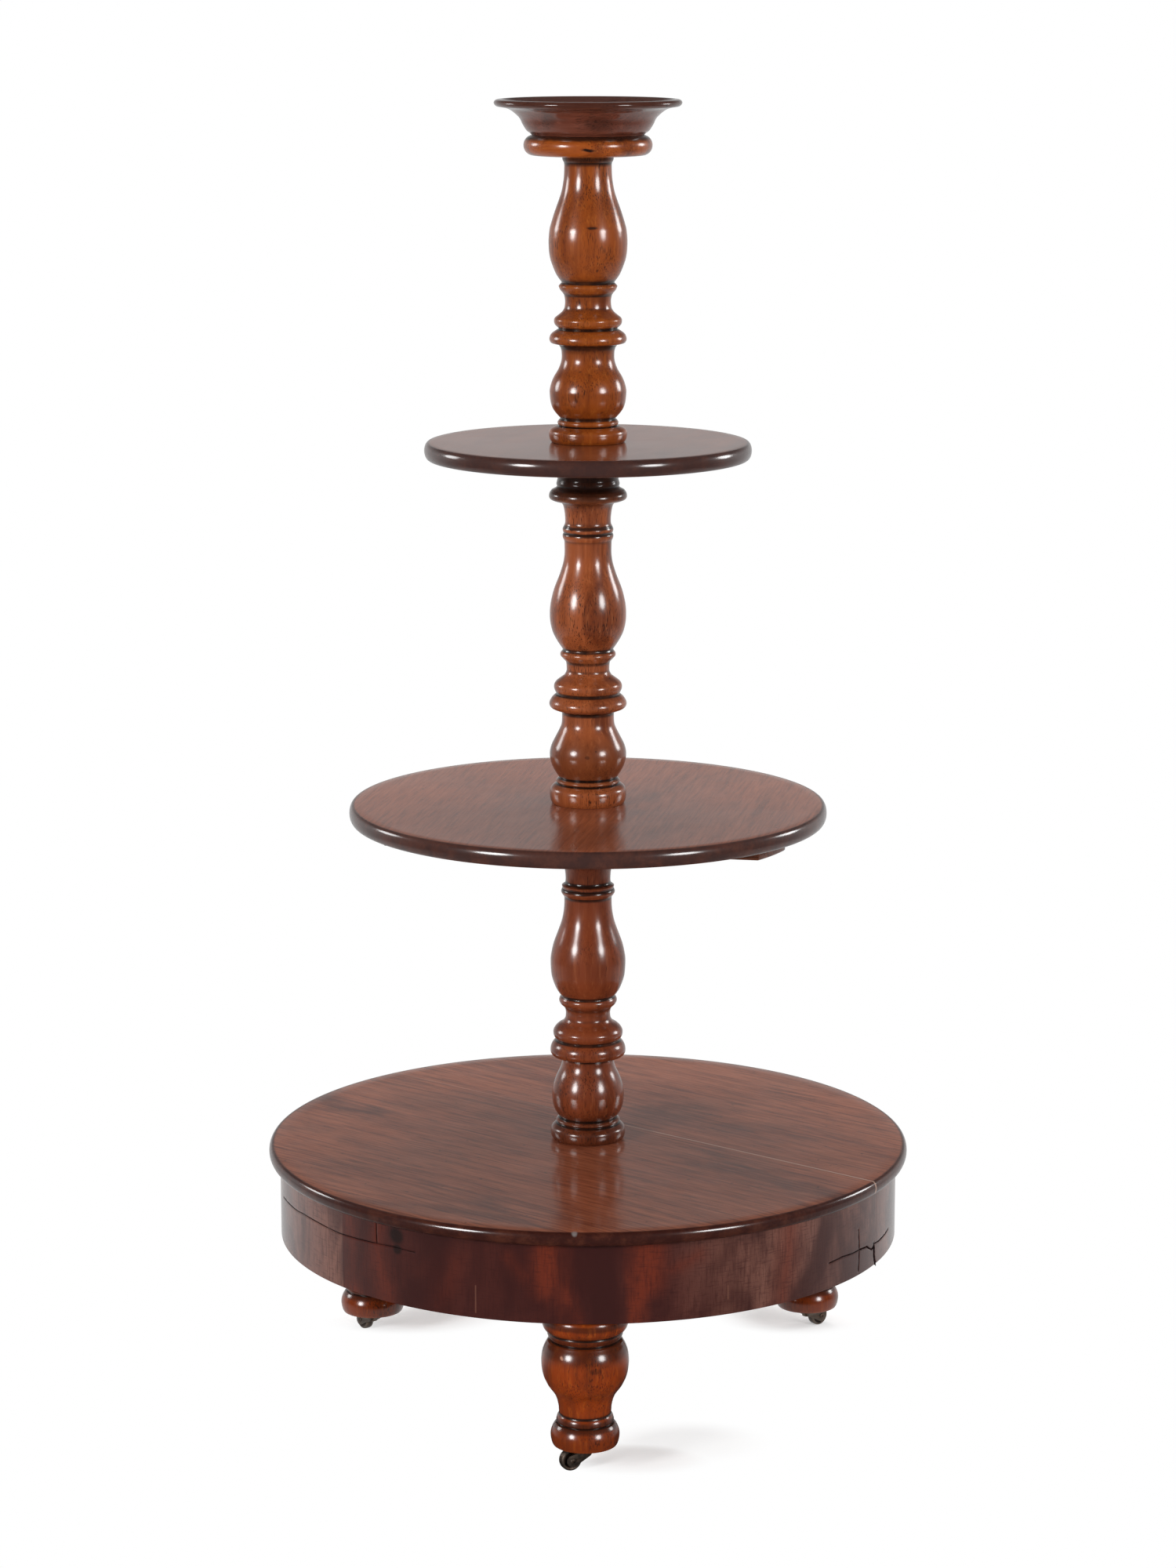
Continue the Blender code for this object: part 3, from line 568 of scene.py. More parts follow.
def round_board_outline(radius, low, high):
    """A board's outline: flat faces and a half-round nosing between them."""
    flat = radius - nosing_depth
    outline = []
    for count in range(top_rings):
        outline.append((tenon_hole_radius + (flat - tenon_hole_radius) * count / top_rings, low))
    for count in range(nosing_steps + 1):
        angle = math.pi * count / nosing_steps
        height = (low + high) / 2 - (high - low) / 2 * math.cos(angle)
        outline.append((flat + nosing_depth * math.sin(angle), height))
    for count in reversed(range(top_rings)):
        outline.append((tenon_hole_radius + (flat - tenon_hole_radius) * count / top_rings, high))
    return outline


def move(kind, first, second=(0.0, 0.0, 0.0), output=0):
    """Reckon with places: add, subtract, scale, or measure them."""
    return step("VectorMath", [(0, first), (1, second)], output, operation=kind)


def blemishes(place, spots, ragged=0.004):
    """Marks with uneven edges. Each spot is a centre, its half sizes and how strong it is."""
    shift = step("TexNoise", [("Vector", place), ("Scale", 90.0), ("Detail", 3.0)], 1)
    shift = move("SUBTRACT", shift, (0.5, 0.5, 0.5))
    shift = move("MULTIPLY", shift, (ragged, ragged, ragged))
    moved = move("ADD", place, shift)
    covered = 0.0
    for centre, half_sizes, strength in spots:
        away = move("DIVIDE", move("SUBTRACT", moved, centre), half_sizes)
        away = move("LENGTH", away, output="Value")
        covered = sum_up("MAXIMUM", between(away, 1.1, 0.4, 0.0, strength), covered)
    return covered


def polished_boards(name, turn, edge_radius, tone=1.0, figure=1.0, edge_colour=edge_dark,
                    joint=None, spots=(), chips=()):
    """Polished mahogany board: grain one way, dark stains, specks and a nosing that is darker, unevenly,
    towards its rim.
    """
    finish, shader, place = new_finish(name, board_roughness)
    bands = grain_patches(place, turn, 1.7, 15.0, 2.0, 0.5, 0.8)
    streaks = grain_patches(place, turn, 7.0, 120.0, 6.0, 0.68, 0.6)
    fibre = grain_patches(place, turn, 15.0, 290.0, 5.0, 0.7, 0.3)
    pores = grain_patches(place, turn, 95.0, 1500.0, 1.0)
    stains = grain_patches(place, turn, 3.5, 9.0, 4.0, 0.55, 0.8)
    specks = patches(place, 150.0, 2.0, 0.5)
    colour = layered(board_deep,
                     (bands, 0.25, 0.60, 1.0 - figure, 1.0, board_body),
                     (streaks, 0.46, 0.70, 0.0, 0.60 * figure, board_bright),
                     (streaks, 0.48, 0.32, 0.0, 0.60 * figure, board_deep),
                     (fibre, 0.50, 0.64, 0.0, 0.20 + 0.45 * figure, board_bright),
                     (fibre, 0.50, 0.37, 0.0, 0.15 + 0.55 * figure, edge_dark),
                     (pores, 0.60, 0.70, 0.0, 0.35, board_deep),
                     (stains, 0.52, 0.74, 0.0, 0.65, edge_dark),
                     (specks, 0.69, 0.76, 0.0, 0.6, polish_black))
    if spots:
        colour = tinted(blemishes(place, spots, 0.05), colour, edge_dark)
    # The tone scales the whole colour; for the battens it is painted shade.
    colour = tinted(1.0, colour, (tone, tone * 0.97, tone, 1.0), "MULTIPLY")
    flat_place = move("MULTIPLY", place, (1.0, 1.0, 0.0))
    from_axis = move("LENGTH", flat_place, output="Value")
    edge = between(from_axis, edge_radius - nosing_dark_inner, edge_radius - nosing_dark_outer)
    nosing_mottle = between(patches(place, 45.0, 5.0, 0.7), 0.40, 0.62, 0.98, 0.86)
    colour = tinted(sum_up("MULTIPLY", edge, nosing_mottle), colour, edge_colour)
    if chips:
        colour = tinted(blemishes(place, chips, 0.002), colour, chip_grey)
    if joint is not None:
        across = Vector((math.cos(joint), math.sin(joint), 0.0))
        reach = move("DOT_PRODUCT", place, across, "Value")
        reach = sum_up("ABSOLUTE", sum_up("SUBTRACT", reach, joint_offset))
        pale = between(reach, 0.0005, 0.0020, 0.80, 0.0)
        sideways = part_of(place, "X")
        pale = sum_up("MULTIPLY", pale, between(sideways, -0.08, 0.04, 0.30, 1.0))
        colour = tinted(pale, colour, joint_pale)
    bloom = patches(place, 6.0, 5.0, 0.65)
    pits = between(pores, 0.60, 0.70)
    surfaced(shader, colour, bloom, (0.3, 0.7, 0.36, 0.50), (streaks, 0.00006), (pits, -0.00005))
    varnish(shader, board_coat_roughness, patches(place, board_waves, 2.0))
    return finish


def board_half(outline, side):
    """The part of a round board on one side of the glued joint."""
    bm = turned_round(outline, base_sides, ring=True)
    away = Vector((math.cos(joint_direction), math.sin(joint_direction), 0))
    middle = away * (joint_offset + side * joint_gap / 2)
    cut = bmesh.ops.bisect_plane(bm, geom=bm.verts[:] + bm.edges[:] + bm.faces[:],
                                 plane_co=middle, plane_no=-side * away, clear_outer=True)
    rim = [item for item in cut["geom_cut"] if isinstance(item, bmesh.types.BMEdge)]
    bmesh.ops.contextual_create(bm, geom=rim)
    bmesh.ops.recalc_face_normals(bm, faces=bm.faces)
    return bm


base_low, base_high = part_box("base_top_front_board")
base_radius = 0.381
base_tone = 1.16
base_figure = 0.7
base_grain = (0.0, 0.0, -base_grain_angle)
base_spots = [((0.100, 0.125, 0.298), (0.060, 0.020, 0.05), 0.30),
              ((0.190, 0.040, 0.298), (0.080, 0.030, 0.05), 0.22),
              ((-0.200, 0.150, 0.298), (0.080, 0.050, 0.05), 0.20)]
base_chips = [((-0.0150, -0.3765, 0.2970), (0.0042, 0.006, 0.0045), 0.5)]
base_finish = polished_boards("base_top_polish", base_grain, base_radius, base_tone, base_figure,
                              edge_dark, joint_direction, base_spots, base_chips)
base_outline = round_board_outline(base_radius, base_low.z, base_high.z)
for node, side in (("base_top_front_board", -1), ("base_top_rear_board", 1)):
    half = finished_mesh(node + "_planed", board_half(base_outline, side))
    put_in_place(half, base_finish, "table", "board_mahogany", node)

# The three legs.
# Turned from solid mahogany: a bun foot, a bead, a ball that narrows to its ankle, and
# two more beads under the drum. A round tenon glues each one into its block.

leg_sides = 80
turning_steps = 3
leg_radius = 0.0493
leg_top_tenon = 0.016
# Stretches between its grooves, in thousandths of the radius and of the height
leg_shares = [
    [(740, 0), (765, 15), (785, 40), (796, 69), (789, 93), (766, 116), (730, 140), (680, 162)],
    [(645, 168), (663, 180), (659, 190), (640, 211), (604, 230)],
    [(601, 238), (606, 258), (610, 282), (624, 306), (652, 341), (699, 376), (748, 400), (807, 424),
     (858, 447), (897, 471), (948, 506), (980, 542), (999, 577), (1008, 612), (1008, 636), (998, 671),
     (974, 706), (930, 742), (890, 765), (864, 780)],
    [(803, 790), (845, 808), (872, 832), (862, 848)],
    [(870, 854), (930, 866), (975, 890), (1000, 930), (975, 972), (910, 1000)],
]
groove_reach = 0.0050
hollow_step = 0.0003
groove_full = 0.0012
# Reach, depth and share of the painted shade in the hollows beside a groove
shoulder_reach = 0.0150
shoulder_full = 0.0052
shoulder_share = 0.32
hand_waver = 0.00005

turning_deep = (0.085, 0.0150, 0.0040, 1.0)
# Dark of pores, knots and wax, also used for painted shade
turning_dirt_and_shade = (0.014, 0.0055, 0.0035, 1.0)
dent_pink = (0.420, 0.2000, 0.1300, 1.0)
turning_roughness = 0.40
turning_coat_roughness = 0.19


def smooth_run(thousandths, steps):
    """Shares along a smooth curve that runs through points given in thousandths."""
    points = [(across / 1000, up / 1000) for across, up in thousandths]
    line = []
    last = len(points) - 1
    for span in range(last):
        before = Vector(points[max(span - 1, 0)])
        start = Vector(points[span])
        end = Vector(points[span + 1])
        after = Vector(points[min(span + 2, last)])
        for count in range(steps):
            t = count / steps
            point = (2 * t**3 - 3 * t**2 + 1) * start
            point += (t**3 - 2 * t**2 + t) * (end - before) / 2
            point += (-2 * t**3 + 3 * t**2) * end
            point += (t**3 - t**2) * (after - start) / 2
            line.append((point.x, point.y))
    line.append(tuple(points[-1]))
    return line


def turning_outline(stretches, radius, bottom, height):
    """The real outline of a turning from its thousandths of a radius and of a height."""
    line = []
    for points in stretches:
        for radius_share, height_share in smooth_run(points, turning_steps):
            line.append((radius * radius_share, bottom + height * height_share))
    return line


def hollows(outline, window, full):
    """How deep each point of an outline lies below its neighbours: 1 in a groove, -1 on a crest."""
    corners = [Vector(point) for point in outline]
    travel = [0.0]
    for start, end in zip(corners, corners[1:]):
        travel.append(travel[-1] + (end - start).length)
    radii = []
    for start, end in zip(corners, corners[1:]):
        pieces = max(1, round((end - start).length / hollow_step))
        radii += [start.lerp(end, count / pieces).x for count in range(pieces)]
    values = []
    for corner, place in zip(corners, travel):
        spot = round(place / travel[-1] * len(radii))
        reach = min(round(window / hollow_step), spot, len(radii) - 1 - spot)
        near = radii[spot - reach:spot + reach + 1] if reach > 0 else [corner.x]
        values.append(max(-1.0, min(1.0, (sum(near) / len(near) - corner.x) / full)))
    return values


def wax_and_shade_places(outline):
    """Grooves hold black wax, and the wider hollows on both sides of a groove get painted shade."""
    grooves = hollows(outline, groove_reach, groove_full)
    shoulders = hollows(outline, shoulder_reach, shoulder_full)
    return [groove if groove < -0.3 else max(groove, shoulder * shoulder_share)
            for groove, shoulder in zip(grooves, shoulders)]


def turned_mesh(name, outline, sides, ring=False):
    mesh = finished_mesh(name, turned_round(outline, sides, ring, hand_waver))
    values = []
    for value, (radius, height) in zip(wax_and_shade_places(outline), outline):
        values += [value] * (1 if radius == 0 else sides)
    add_values(mesh, "hollow", values)
    return mesh


def polished_turning(name, body, bright, turn, knots_and_shade_at=(), dents_at=(), gloss=turning_coat_roughness):
    """Polished turned mahogany: upright grain, black wax in the grooves with painted shade beside them,
    and rubbed crests.
    """
    finish, shader, place = new_finish(name, turning_roughness)
    hollow = mark(finish, "hollow")
    bands = grain_patches(place, turn, 3.5, 30.0, 3.0, 0.55, 0.7)
    streaks = grain_patches(place, turn, 16.0, 260.0, 5.0, 0.62, 0.3)
    pores = grain_patches(place, turn, 110.0, 950.0, 1.0)
    pore_fields = between(patches(place, 17.0, 2.0), 0.40, 0.60)
    pores = sum_up("MULTIPLY", between(pores, 0.56, 0.66), pore_fields)
    knots = grain_patches(place, turn, 26.0, 60.0, 2.0, 0.5, 1.0)
    colour = layered(turning_deep,
                     (bands, 0.32, 0.60, 0.25, 1.0, body),
                     (streaks, 0.50, 0.74, 0.0, 0.6, bright),
                     (streaks, 0.44, 0.28, 0.0, 0.5, turning_deep))
    colour = tinted(sum_up("MULTIPLY", pores, 0.8), colour, turning_dirt_and_shade)
    colour = layered(colour,
                     (knots, 0.72, 0.78, 0.0, 0.85, turning_dirt_and_shade),
                     (hollow, -0.25, -0.9, 0.0, 0.25, bright))
    # Knots and marks of the wood darken it, and so do the bands, most of them painted shade; dents show
    # pink.
    for spots, over in ((knots_and_shade_at, turning_dirt_and_shade), (dents_at, dent_pink)):
        if spots:
            colour = tinted(blemishes(place, spots), colour, over)
    # Black wax in the grooves, and painted shade in the wider hollows beside them
    wax_and_shade = between(patches(place, 60.0, 3.0), 0.30, 0.60, 0.75, 0.97)
    wax_and_shade = sum_up("MULTIPLY", wax_and_shade, between(hollow, 0.10, 0.55))
    colour = tinted(wax_and_shade, colour, turning_dirt_and_shade)
    bloom = patches(place, 18.0, 4.0, 0.6)
    surfaced(shader, colour, bloom, (0.3, 0.7, 0.34, 0.48), (streaks, 0.00005), (pores, -0.00005))
    varnish(shader, gloss)
    return finish


def dark_band(height, half_height, strength, reach=1.0):
    """A band painted darker all the way round."""
    return (0.0, 0.0, height), (reach, reach, half_height), strength


upright_grain = (0.0, math.radians(90), 0.0)
leg_body = (0.250, 0.0350, 0.0015, 1.0)
leg_bright = (0.360, 0.0730, 0.0050, 1.0)
# Beside one knot in the ball, these are bands of painted shade: faint over the whole bun, on top of the
# bun and of the ball under their beads, and on the ring under the drum.
leg_knots_and_shade = [((0.008, -0.363, 0.131), (0.009, 0.02, 0.004), 0.5),
             dark_band(0.0460, 0.0300, 0.30, 2.0), dark_band(0.1520, 0.0200, 0.66, 2.0),
             dark_band(0.0570, 0.0090, 0.75, 2.0), dark_band(0.1795, 0.0050, 0.60, 2.0)]
leg_dents = [((-0.030, -0.356, 0.144), (0.0018, 0.01, 0.0032), 1.0)]
leg_polish = polished_turning("leg_polish", leg_body, leg_bright, upright_grain, leg_knots_and_shade, leg_dents)
leg_angles = {"front": -90.6, "right": 32.0, "left": 150.3}
foot_underside = 0.030
recess_radius = 0.0041
recess_depth = 0.0016


def middle_of(node):
    """Where the upright axis of a round piece stands on the floor plan."""
    low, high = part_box(node)
    return (low.x + high.x) / 2, (low.y + high.y) / 2


def set_down(mesh, x, y, turn=0.0, height=0.0):
    """Turn a mesh round Z, move it to its place on the floor plan and raise it."""
    mesh.transform(Matrix.Translation((x, y, height)) @ Matrix.Rotation(turn, 4, "Z"))
    mesh.update()
    return mesh


joint_height = drum_low.z - veneer_gap
recess_top = foot_underside + recess_depth
for side, degrees in leg_angles.items():
    node = side + "_leg"
    low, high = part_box(node)
    outline = [(0, recess_top), (recess_radius, recess_top), (recess_radius, foot_underside)]
    outline += turning_outline(leg_shares, leg_radius, foot_underside, joint_height - foot_underside)
    outline += [(leg_top_tenon, joint_height), (leg_top_tenon, high.z), (0, high.z)]
    leg = turned_mesh(node + "_turned", outline, leg_sides)
    set_down(leg, *middle_of(node), math.radians(degrees))
    put_in_place(leg, leg_polish, "table", "leg_mahogany", node)

# The casters.
# A round plate is screwed under each foot. A pin riveted through it carries the cast horn,
# which turns on the pin and holds the wheel on an axle behind it. Iron gone nearly black.

caster_trail = 0.0185
wheel_radius = 0.01275
wheel_half_width = 0.00525
plate_radius = 0.017
plate_low = 0.0275
plate_high = 0.0297
plate_screw_circle = 0.0115
pin_radius = 0.0022
pin_head_radius = 0.0038
pin_head_height = 0.0014
hub_height = 0.0205
hub_radius = 0.0056
hub_arm_radius = 0.0050
hub_top = 0.0271
arm_end_radius = 0.0070
horn_half_width = 0.00835
slot_half_width = 0.00585
slot_radius = 0.01355
axle_radius = 0.0020
axle_head_radius = 0.0030
axle_head_height = 0.0011
bore_gap = 0.0003
horn_edge = 0.00035
horn_end_steps = 14
plate_rim = 0.0004
dome_steps = 6
plate_sides = 48
wheel_sides = 64
slot_sides = 48
rivet_sides = 32
bore_sides = 24
screw_sides = 28
screw_turn = 0.7
trail_degrees = {"front": 205, "right": 40, "left": 125}
# Radius and depth of a screw's head, radius and length of its shank, and width of its slot
plate_screw = (0.0026, 0.0014, 0.0012, 0.0115, 0.0006)

metal_black = (0.024, 0.0165, 0.0135, 1.0)
metal_brown = (0.078, 0.0440, 0.0290, 1.0)
metal_rubbed = (0.200, 0.1600, 0.1300, 1.0)
steel_grey = (0.22, 0.21, 0.20, 1.0)
rust_brown = (0.085, 0.045, 0.022, 1.0)


def blackened_iron(name):
    finish, shader, place = new_finish(name, 0.4)
    crust = patches(place, 190.0, 4.0, 0.6)
    pits = patches(place, 900.0, 2.0)
    crests = step("NewGeometry", output="Pointiness", block=finish)
    colour = layered(metal_black,
                     (crust, 0.40, 0.66, 0.0, 1.0, metal_brown),
                     (crests, 0.505, 0.56, 0.0, 0.7, metal_rubbed))
    surfaced(shader, colour, crust, (0.3, 0.7, 0.30, 0.58), (crust, 0.00025), (pits, 0.00006))
    shader.inputs["Metallic"].default_value = 0.85
    return finish


def cut_or_join(bm, tool, operation):
    """Cut one closed shape with another, or join the two."""
    items = []
    for shape in (bm, tool):
        bmesh.ops.recalc_face_normals(shape, faces=shape.faces)
        items.append(new_object("shape", plain_mesh("shape", shape)))
    body, other = items
    change = body.modifiers.new("change", "BOOLEAN")
    change.operation = operation
    change.solver = "EXACT"
    change.object = other
    result = bmesh.new()
    result.from_object(body, bpy.context.evaluated_depsgraph_get())
    for item in items:
        bpy.data.objects.remove(item, do_unlink=True)
    return result


def rounded(name, bm, width, segments=2):
    """A mesh whose sharp edges are eased by the given width."""
    item = new_object(name, plain_mesh(name, bm))
    ease = item.modifiers.new("ease", "BEVEL")
    ease.width = width
    ease.segments = segments
    ease.limit_method = "ANGLE"
    ease.angle_limit = math.radians(35)
    eased = bpy.data.meshes.new_from_object(item.evaluated_get(bpy.context.evaluated_depsgraph_get()))
    eased.name = name
    bpy.data.objects.remove(item, do_unlink=True)
    return smooth_all(eased)


def rod(radius, low, high, sides):
    return turned_round([(0, low), (radius, low), (radius, high), (0, high)], sides)


def laid_along_y(bm, x=0.0, z=0.0):
    bmesh.ops.rotate(bm, verts=bm.verts, cent=(0, 0, 0), matrix=Matrix.Rotation(math.pi / 2, 3, "X"))
    bmesh.ops.translate(bm, verts=bm.verts, vec=(x, 0, z))
    return bm


def slab(outline, low, high):
    """A flat shape of (x, y) points, extruded from one height to another."""
    bm = bmesh.new()
    under = [bm.verts.new((x, y, low)) for x, y in outline]
    over = [bm.verts.new((x, y, high)) for x, y in outline]
    bm.faces.new(under)
    bm.faces.new(over)
    for side in range(len(outline)):
        after = (side + 1) % len(outline)
        bm.faces.new((under[side], under[after], over[after], over[side]))
    bmesh.ops.recalc_face_normals(bm, faces=bm.faces)
    return bm


def horn_side_view():
    """Two round ends, at the pin and at the axle, with straight flanks between them."""
    drop = hub_height - wheel_radius
    span = math.hypot(caster_trail, drop)
    tilt = math.atan2(-drop, caster_trail)
    lean = math.asin((arm_end_radius - hub_arm_radius) / span)
    points = []
    ends = [(0, hub_height, hub_arm_radius, math.pi / 2 + lean, math.pi - 2 * lean)]
    ends += [(caster_trail, wheel_radius, arm_end_radius, -math.pi / 2 - lean, math.pi + 2 * lean)]
    for x, z, radius, start, sweep in ends:
        for count in range(horn_end_steps + 1):
            angle = tilt + start + sweep * count / horn_end_steps
            points.append((x + radius * math.cos(angle), z + radius * math.sin(angle)))
    return points


hub_low = hub_height - hub_arm_radius
pin_hole = pin_radius + bore_gap


def horn_mesh(name):
    """The two arms are one slab until the wheel's slot is cut. Then the two bores follow."""
    bm = laid_along_y(slab(horn_side_view(), -horn_half_width, horn_half_width))
    bm = cut_or_join(bm, rod(hub_radius, hub_low, hub_top, rivet_sides), "UNION")
    reach = horn_half_width * 2
    for radius, half, sides in ((slot_radius, slot_half_width, slot_sides),
                                (axle_radius + bore_gap, reach, bore_sides)):
        cutter = laid_along_y(rod(radius, -half, half, sides), caster_trail, wheel_radius)
        bm = cut_or_join(bm, cutter, "DIFFERENCE")
    seat = pin_head_radius + bore_gap
    pin_bore = turned_round([(0, 0), (seat, 0), (seat, hub_low), (pin_hole, hub_low),
                             (pin_hole, hub_top * 2), (0, hub_top * 2)], bore_sides)
    return rounded(name, cut_or_join(bm, pin_bore, "DIFFERENCE"), horn_edge)


def wheel_mesh(name):
    half = wheel_half_width
    side = [(axle_radius + bore_gap, half), (0.0042, half), (0.0047, half - 0.0007),
            (0.0092, half - 0.0009), (0.0100, half - 0.0002), (0.0113, half - 0.0003),
            (0.0122, half - 0.0011), (0.01262, half - 0.0025)]
    outline = [(radius, -width) for radius, width in side]
    outline += [(wheel_radius, 0.0)]
    outline += [(radius, width) for radius, width in reversed(side)]
    bm = laid_along_y(turned_round(outline, wheel_sides, ring=True), caster_trail, wheel_radius)
    return finished_mesh(name, bm, 50)


def domed(head_radius, head_height, shank_radius, reach):
    """A shank along Z with a domed head at each end, from -reach to +reach."""
    half = []
    for count in range(dome_steps + 1):
        angle = math.pi / 2 * count / dome_steps
        half.append((head_radius * math.sin(angle), reach + head_height * math.cos(angle)))
    half.append((shank_radius, reach))
    outline = [(radius, -height) for radius, height in half]
    outline += [(radius, height) for radius, height in reversed(half)]
    return turned_round(outline, rivet_sides)


def screw_mesh(name, head_radius, head_depth, shank_radius, length, slot_width):
    """A countersunk screw with its head at height 0 and a slot across it."""
    bm = turned_round([(0, 0), (head_radius, 0), (head_radius, head_depth * 0.12),
                       (shank_radius, head_depth), (shank_radius, length), (0, length)], screw_sides)
    half = slot_width / 2
    reach = head_radius * 1.2
    cutter = slab([(-reach, -half), (reach, -half), (reach, half), (-reach, half)],
                  -head_depth * 0.5, head_depth * 0.45)
    return finished_mesh(name, cut_or_join(bm, cutter, "DIFFERENCE"))


def screw_steel(name):
    finish, shader, place = new_finish(name, 0.45)
    rust = patches(place, 420.0, 4.0, 0.6)
    turned_lines = patches(place, 2600.0, 1.0)
    colour = layered(steel_grey, (rust, 0.40, 0.68, 0.0, 1.0, rust_brown))
    surfaced(shader, colour, rust, (0.35, 0.7, 0.35, 0.70), (rust, 0.00008), (turned_lines, 0.00002))
    shader.inputs["Metallic"].default_value = 0.9
    return finish


def fit_under_foot(side, part, mesh, body, turn=0.0):
    """Set one caster piece under its foot. What swivels is turned to where its wheel trails."""
    set_down(mesh, *middle_of(side + "_leg"), turn)
    put_in_place(mesh, caster_black, body, "caster_metal", side + "_caster_" + part)


caster_black = blackened_iron("caster_black")
plate_screw_steel = screw_steel("plate_screw_steel")
plate_line = [(pin_hole, plate_low), (plate_radius - plate_rim * 2, plate_low),
              (plate_radius, plate_low + plate_rim * 2), (plate_radius, plate_high - plate_rim),
              (plate_radius - plate_rim, plate_high), (pin_hole, plate_high)]
pin_low = hub_low - bore_gap
pin_high = plate_high + bore_gap
for side, degrees in leg_angles.items():
    x, y = middle_of(side + "_leg")
    plate = finished_mesh(side + "_caster_plate_disc", turned_round(plate_line, plate_sides, ring=True))
    fit_under_foot(side, "plate", plate, "table")

    for number in range(3):
        turn = math.radians(degrees) + math.tau * number / 3
        node = side + "_plate_screw_" + str(number + 1)
        screw = screw_mesh(node + "_slotted", *plate_screw)
        set_down(screw, x + plate_screw_circle * math.cos(turn), y + plate_screw_circle * math.sin(turn),
                 screw_turn * (number + 1), plate_low)
        put_in_place(screw, plate_screw_steel, "table", "screw_steel", node)

    pin = domed(pin_head_radius, pin_head_height, pin_radius, (pin_high - pin_low) / 2)
    bmesh.ops.translate(pin, verts=pin.verts, vec=(0, 0, (pin_high + pin_low) / 2))
    fit_under_foot(side, "pin", finished_mesh(side + "_caster_pin_riveted", pin), "table")

    trail = math.radians(trail_degrees[side])
    fit_under_foot(side, "horn", horn_mesh(side + "_caster_horn_cast"), side + "_swivel", trail)
    axle = domed(axle_head_radius, axle_head_height, axle_radius, horn_half_width + bore_gap)
    axle = finished_mesh(side + "_caster_axle_riveted", laid_along_y(axle, caster_trail, wheel_radius))
    fit_under_foot(side, "axle", axle, side + "_swivel", trail)
    wheel = wheel_mesh(side + "_caster_wheel_turned")
    fit_under_foot(side, "wheel", wheel, side + "_wheel_body", trail)

# The three columns.
# One turning in mahogany made three times: a foot, a ball, a flange, a cove and a vase, and
# on the lower two a capital under the shelf. A tenon below each foot runs through the shelf.

column_radius = 0.045
column_sides = 88
capital_height = 0.080
column_tenon_radius = 0.016
socket_depth = 0.042
top_tenon_radius = 0.011
lower_column_shares = [
    [(930, 0), (975, 10), (992, 26), (975, 43), (900, 55), (815, 61)],
    [(800, 63), (835, 69), (842, 75), (765, 83)],
    [(745, 84), (800, 95), (880, 114), (935, 140), (955, 172), (948, 192), (905, 220), (820, 252),
     (740, 276), (690, 300), (685, 318), (690, 326)],
    [(800, 328), (934, 331), (985, 341), (995, 350), (987, 362), (963, 372), (927, 381), (853, 393)],
    [(853, 396), (907, 409), (919, 422), (906, 431), (853, 443), (773, 453), (694, 459), (650, 465),
     (607, 475), (592, 484), (587, 500), (608, 515)],
    [(640, 523), (723, 534), (763, 546), (752, 556), (712, 565)],
    [(712, 568), (790, 583), (862, 602), (940, 633), (974, 658), (989, 701), (973, 729), (912, 770),
     (806, 813), (701, 856), (647, 893), (626, 924), (624, 952)],
    [(632, 958), (683, 967), (708, 976), (690, 985), (672, 988)],
    [(677, 990), (686, 1000)],
]
middle_column_shares = [
    [(940, 0), (985, 14), (1002, 38), (975, 55), (900, 66), (815, 71)],
    [(795, 72.5), (828, 78), (835, 83), (780, 90)],
    [(745, 92), (820, 107), (914, 129), (975, 152), (1000, 180), (958, 209), (850, 240), (719, 276),
     (681, 298), (678, 327), (690, 334)],
    [(706, 335), (847, 341), (945, 347), (989, 353), (1009, 361), (999, 370), (970, 378), (923, 387),
     (830, 398)],
    [(828, 401), (883, 418), (878, 433), (823, 444), (720, 455), (630, 464), (596, 470), (559, 481),
     (556, 493), (565, 510), (589, 518)],
    [(640, 525), (692, 533), (719, 538), (715, 547), (668, 555)],
    [(656, 561), (797, 590), (904, 618), (956, 641), (985, 664), (992, 685), (988, 706), (957, 737),
     (876, 780), (740, 828), (651, 867), (620, 890), (607, 912), (611, 945)],
    [(618, 953), (650, 962), (658, 969), (650, 975), (630, 979)],
    [(634, 981), (650, 986), (656, 994), (640, 1000)],
]
upper_column_shares = [
    [(935, 0), (985, 10), (1008, 28), (985, 42), (900, 51), (800, 56)],
    [(745, 57), (772, 62), (785, 69), (765, 75), (715, 82)],
    [(707, 84), (832, 103), (921, 122), (966, 144), (985, 172), (981, 186), (942, 208), (875, 230),
     (769, 254), (701, 277), (675, 296), (680, 318), (705, 332)],
    [(760, 343), (932, 348), (975, 354), (992, 362), (974, 373), (930, 382), (840, 391), (753, 398)],
    [(760, 401), (855, 414), (872, 428), (858, 434), (828, 439), (699, 453), (630, 464), (599, 475),
     (588, 497), (613, 516)],
    [(650, 524), (708, 533), (746, 544), (746, 549), (678, 559)],
    [(680, 562), (818, 589), (934, 628), (977, 650), (999, 672), (1007, 705), (990, 735), (963, 756),
     (854, 805), (692, 868), (635, 905), (612, 932), (604, 967)],
    [(612, 976), (640, 982), (655, 989), (655, 1000)],
]
capital_shares = [
    [(615, 30), (595, 60), (592, 130), (608, 225), (642, 316), (697, 365)],
    [(850, 385), (928, 397.5), (988, 420), (1009, 454), (995, 500), (955, 534), (936, 546),
     (830, 575)],
    [(801, 600), (817, 637), (800, 680)],
    [(790, 700), (800, 790), (889, 850), (970, 868), (978, 878), (978, 1000)],
]
column_tones = {
    "lower_column": ((0.182, 0.0385, 0.0125, 1.0), (0.265, 0.0740, 0.0260, 1.0)),
    "middle_column": ((0.278, 0.0680, 0.0195, 1.0), (0.375, 0.1110, 0.0370, 1.0)),
    "upper_column": ((0.245, 0.0520, 0.0065, 1.0), (0.345, 0.0960, 0.0150, 1.0)),
}
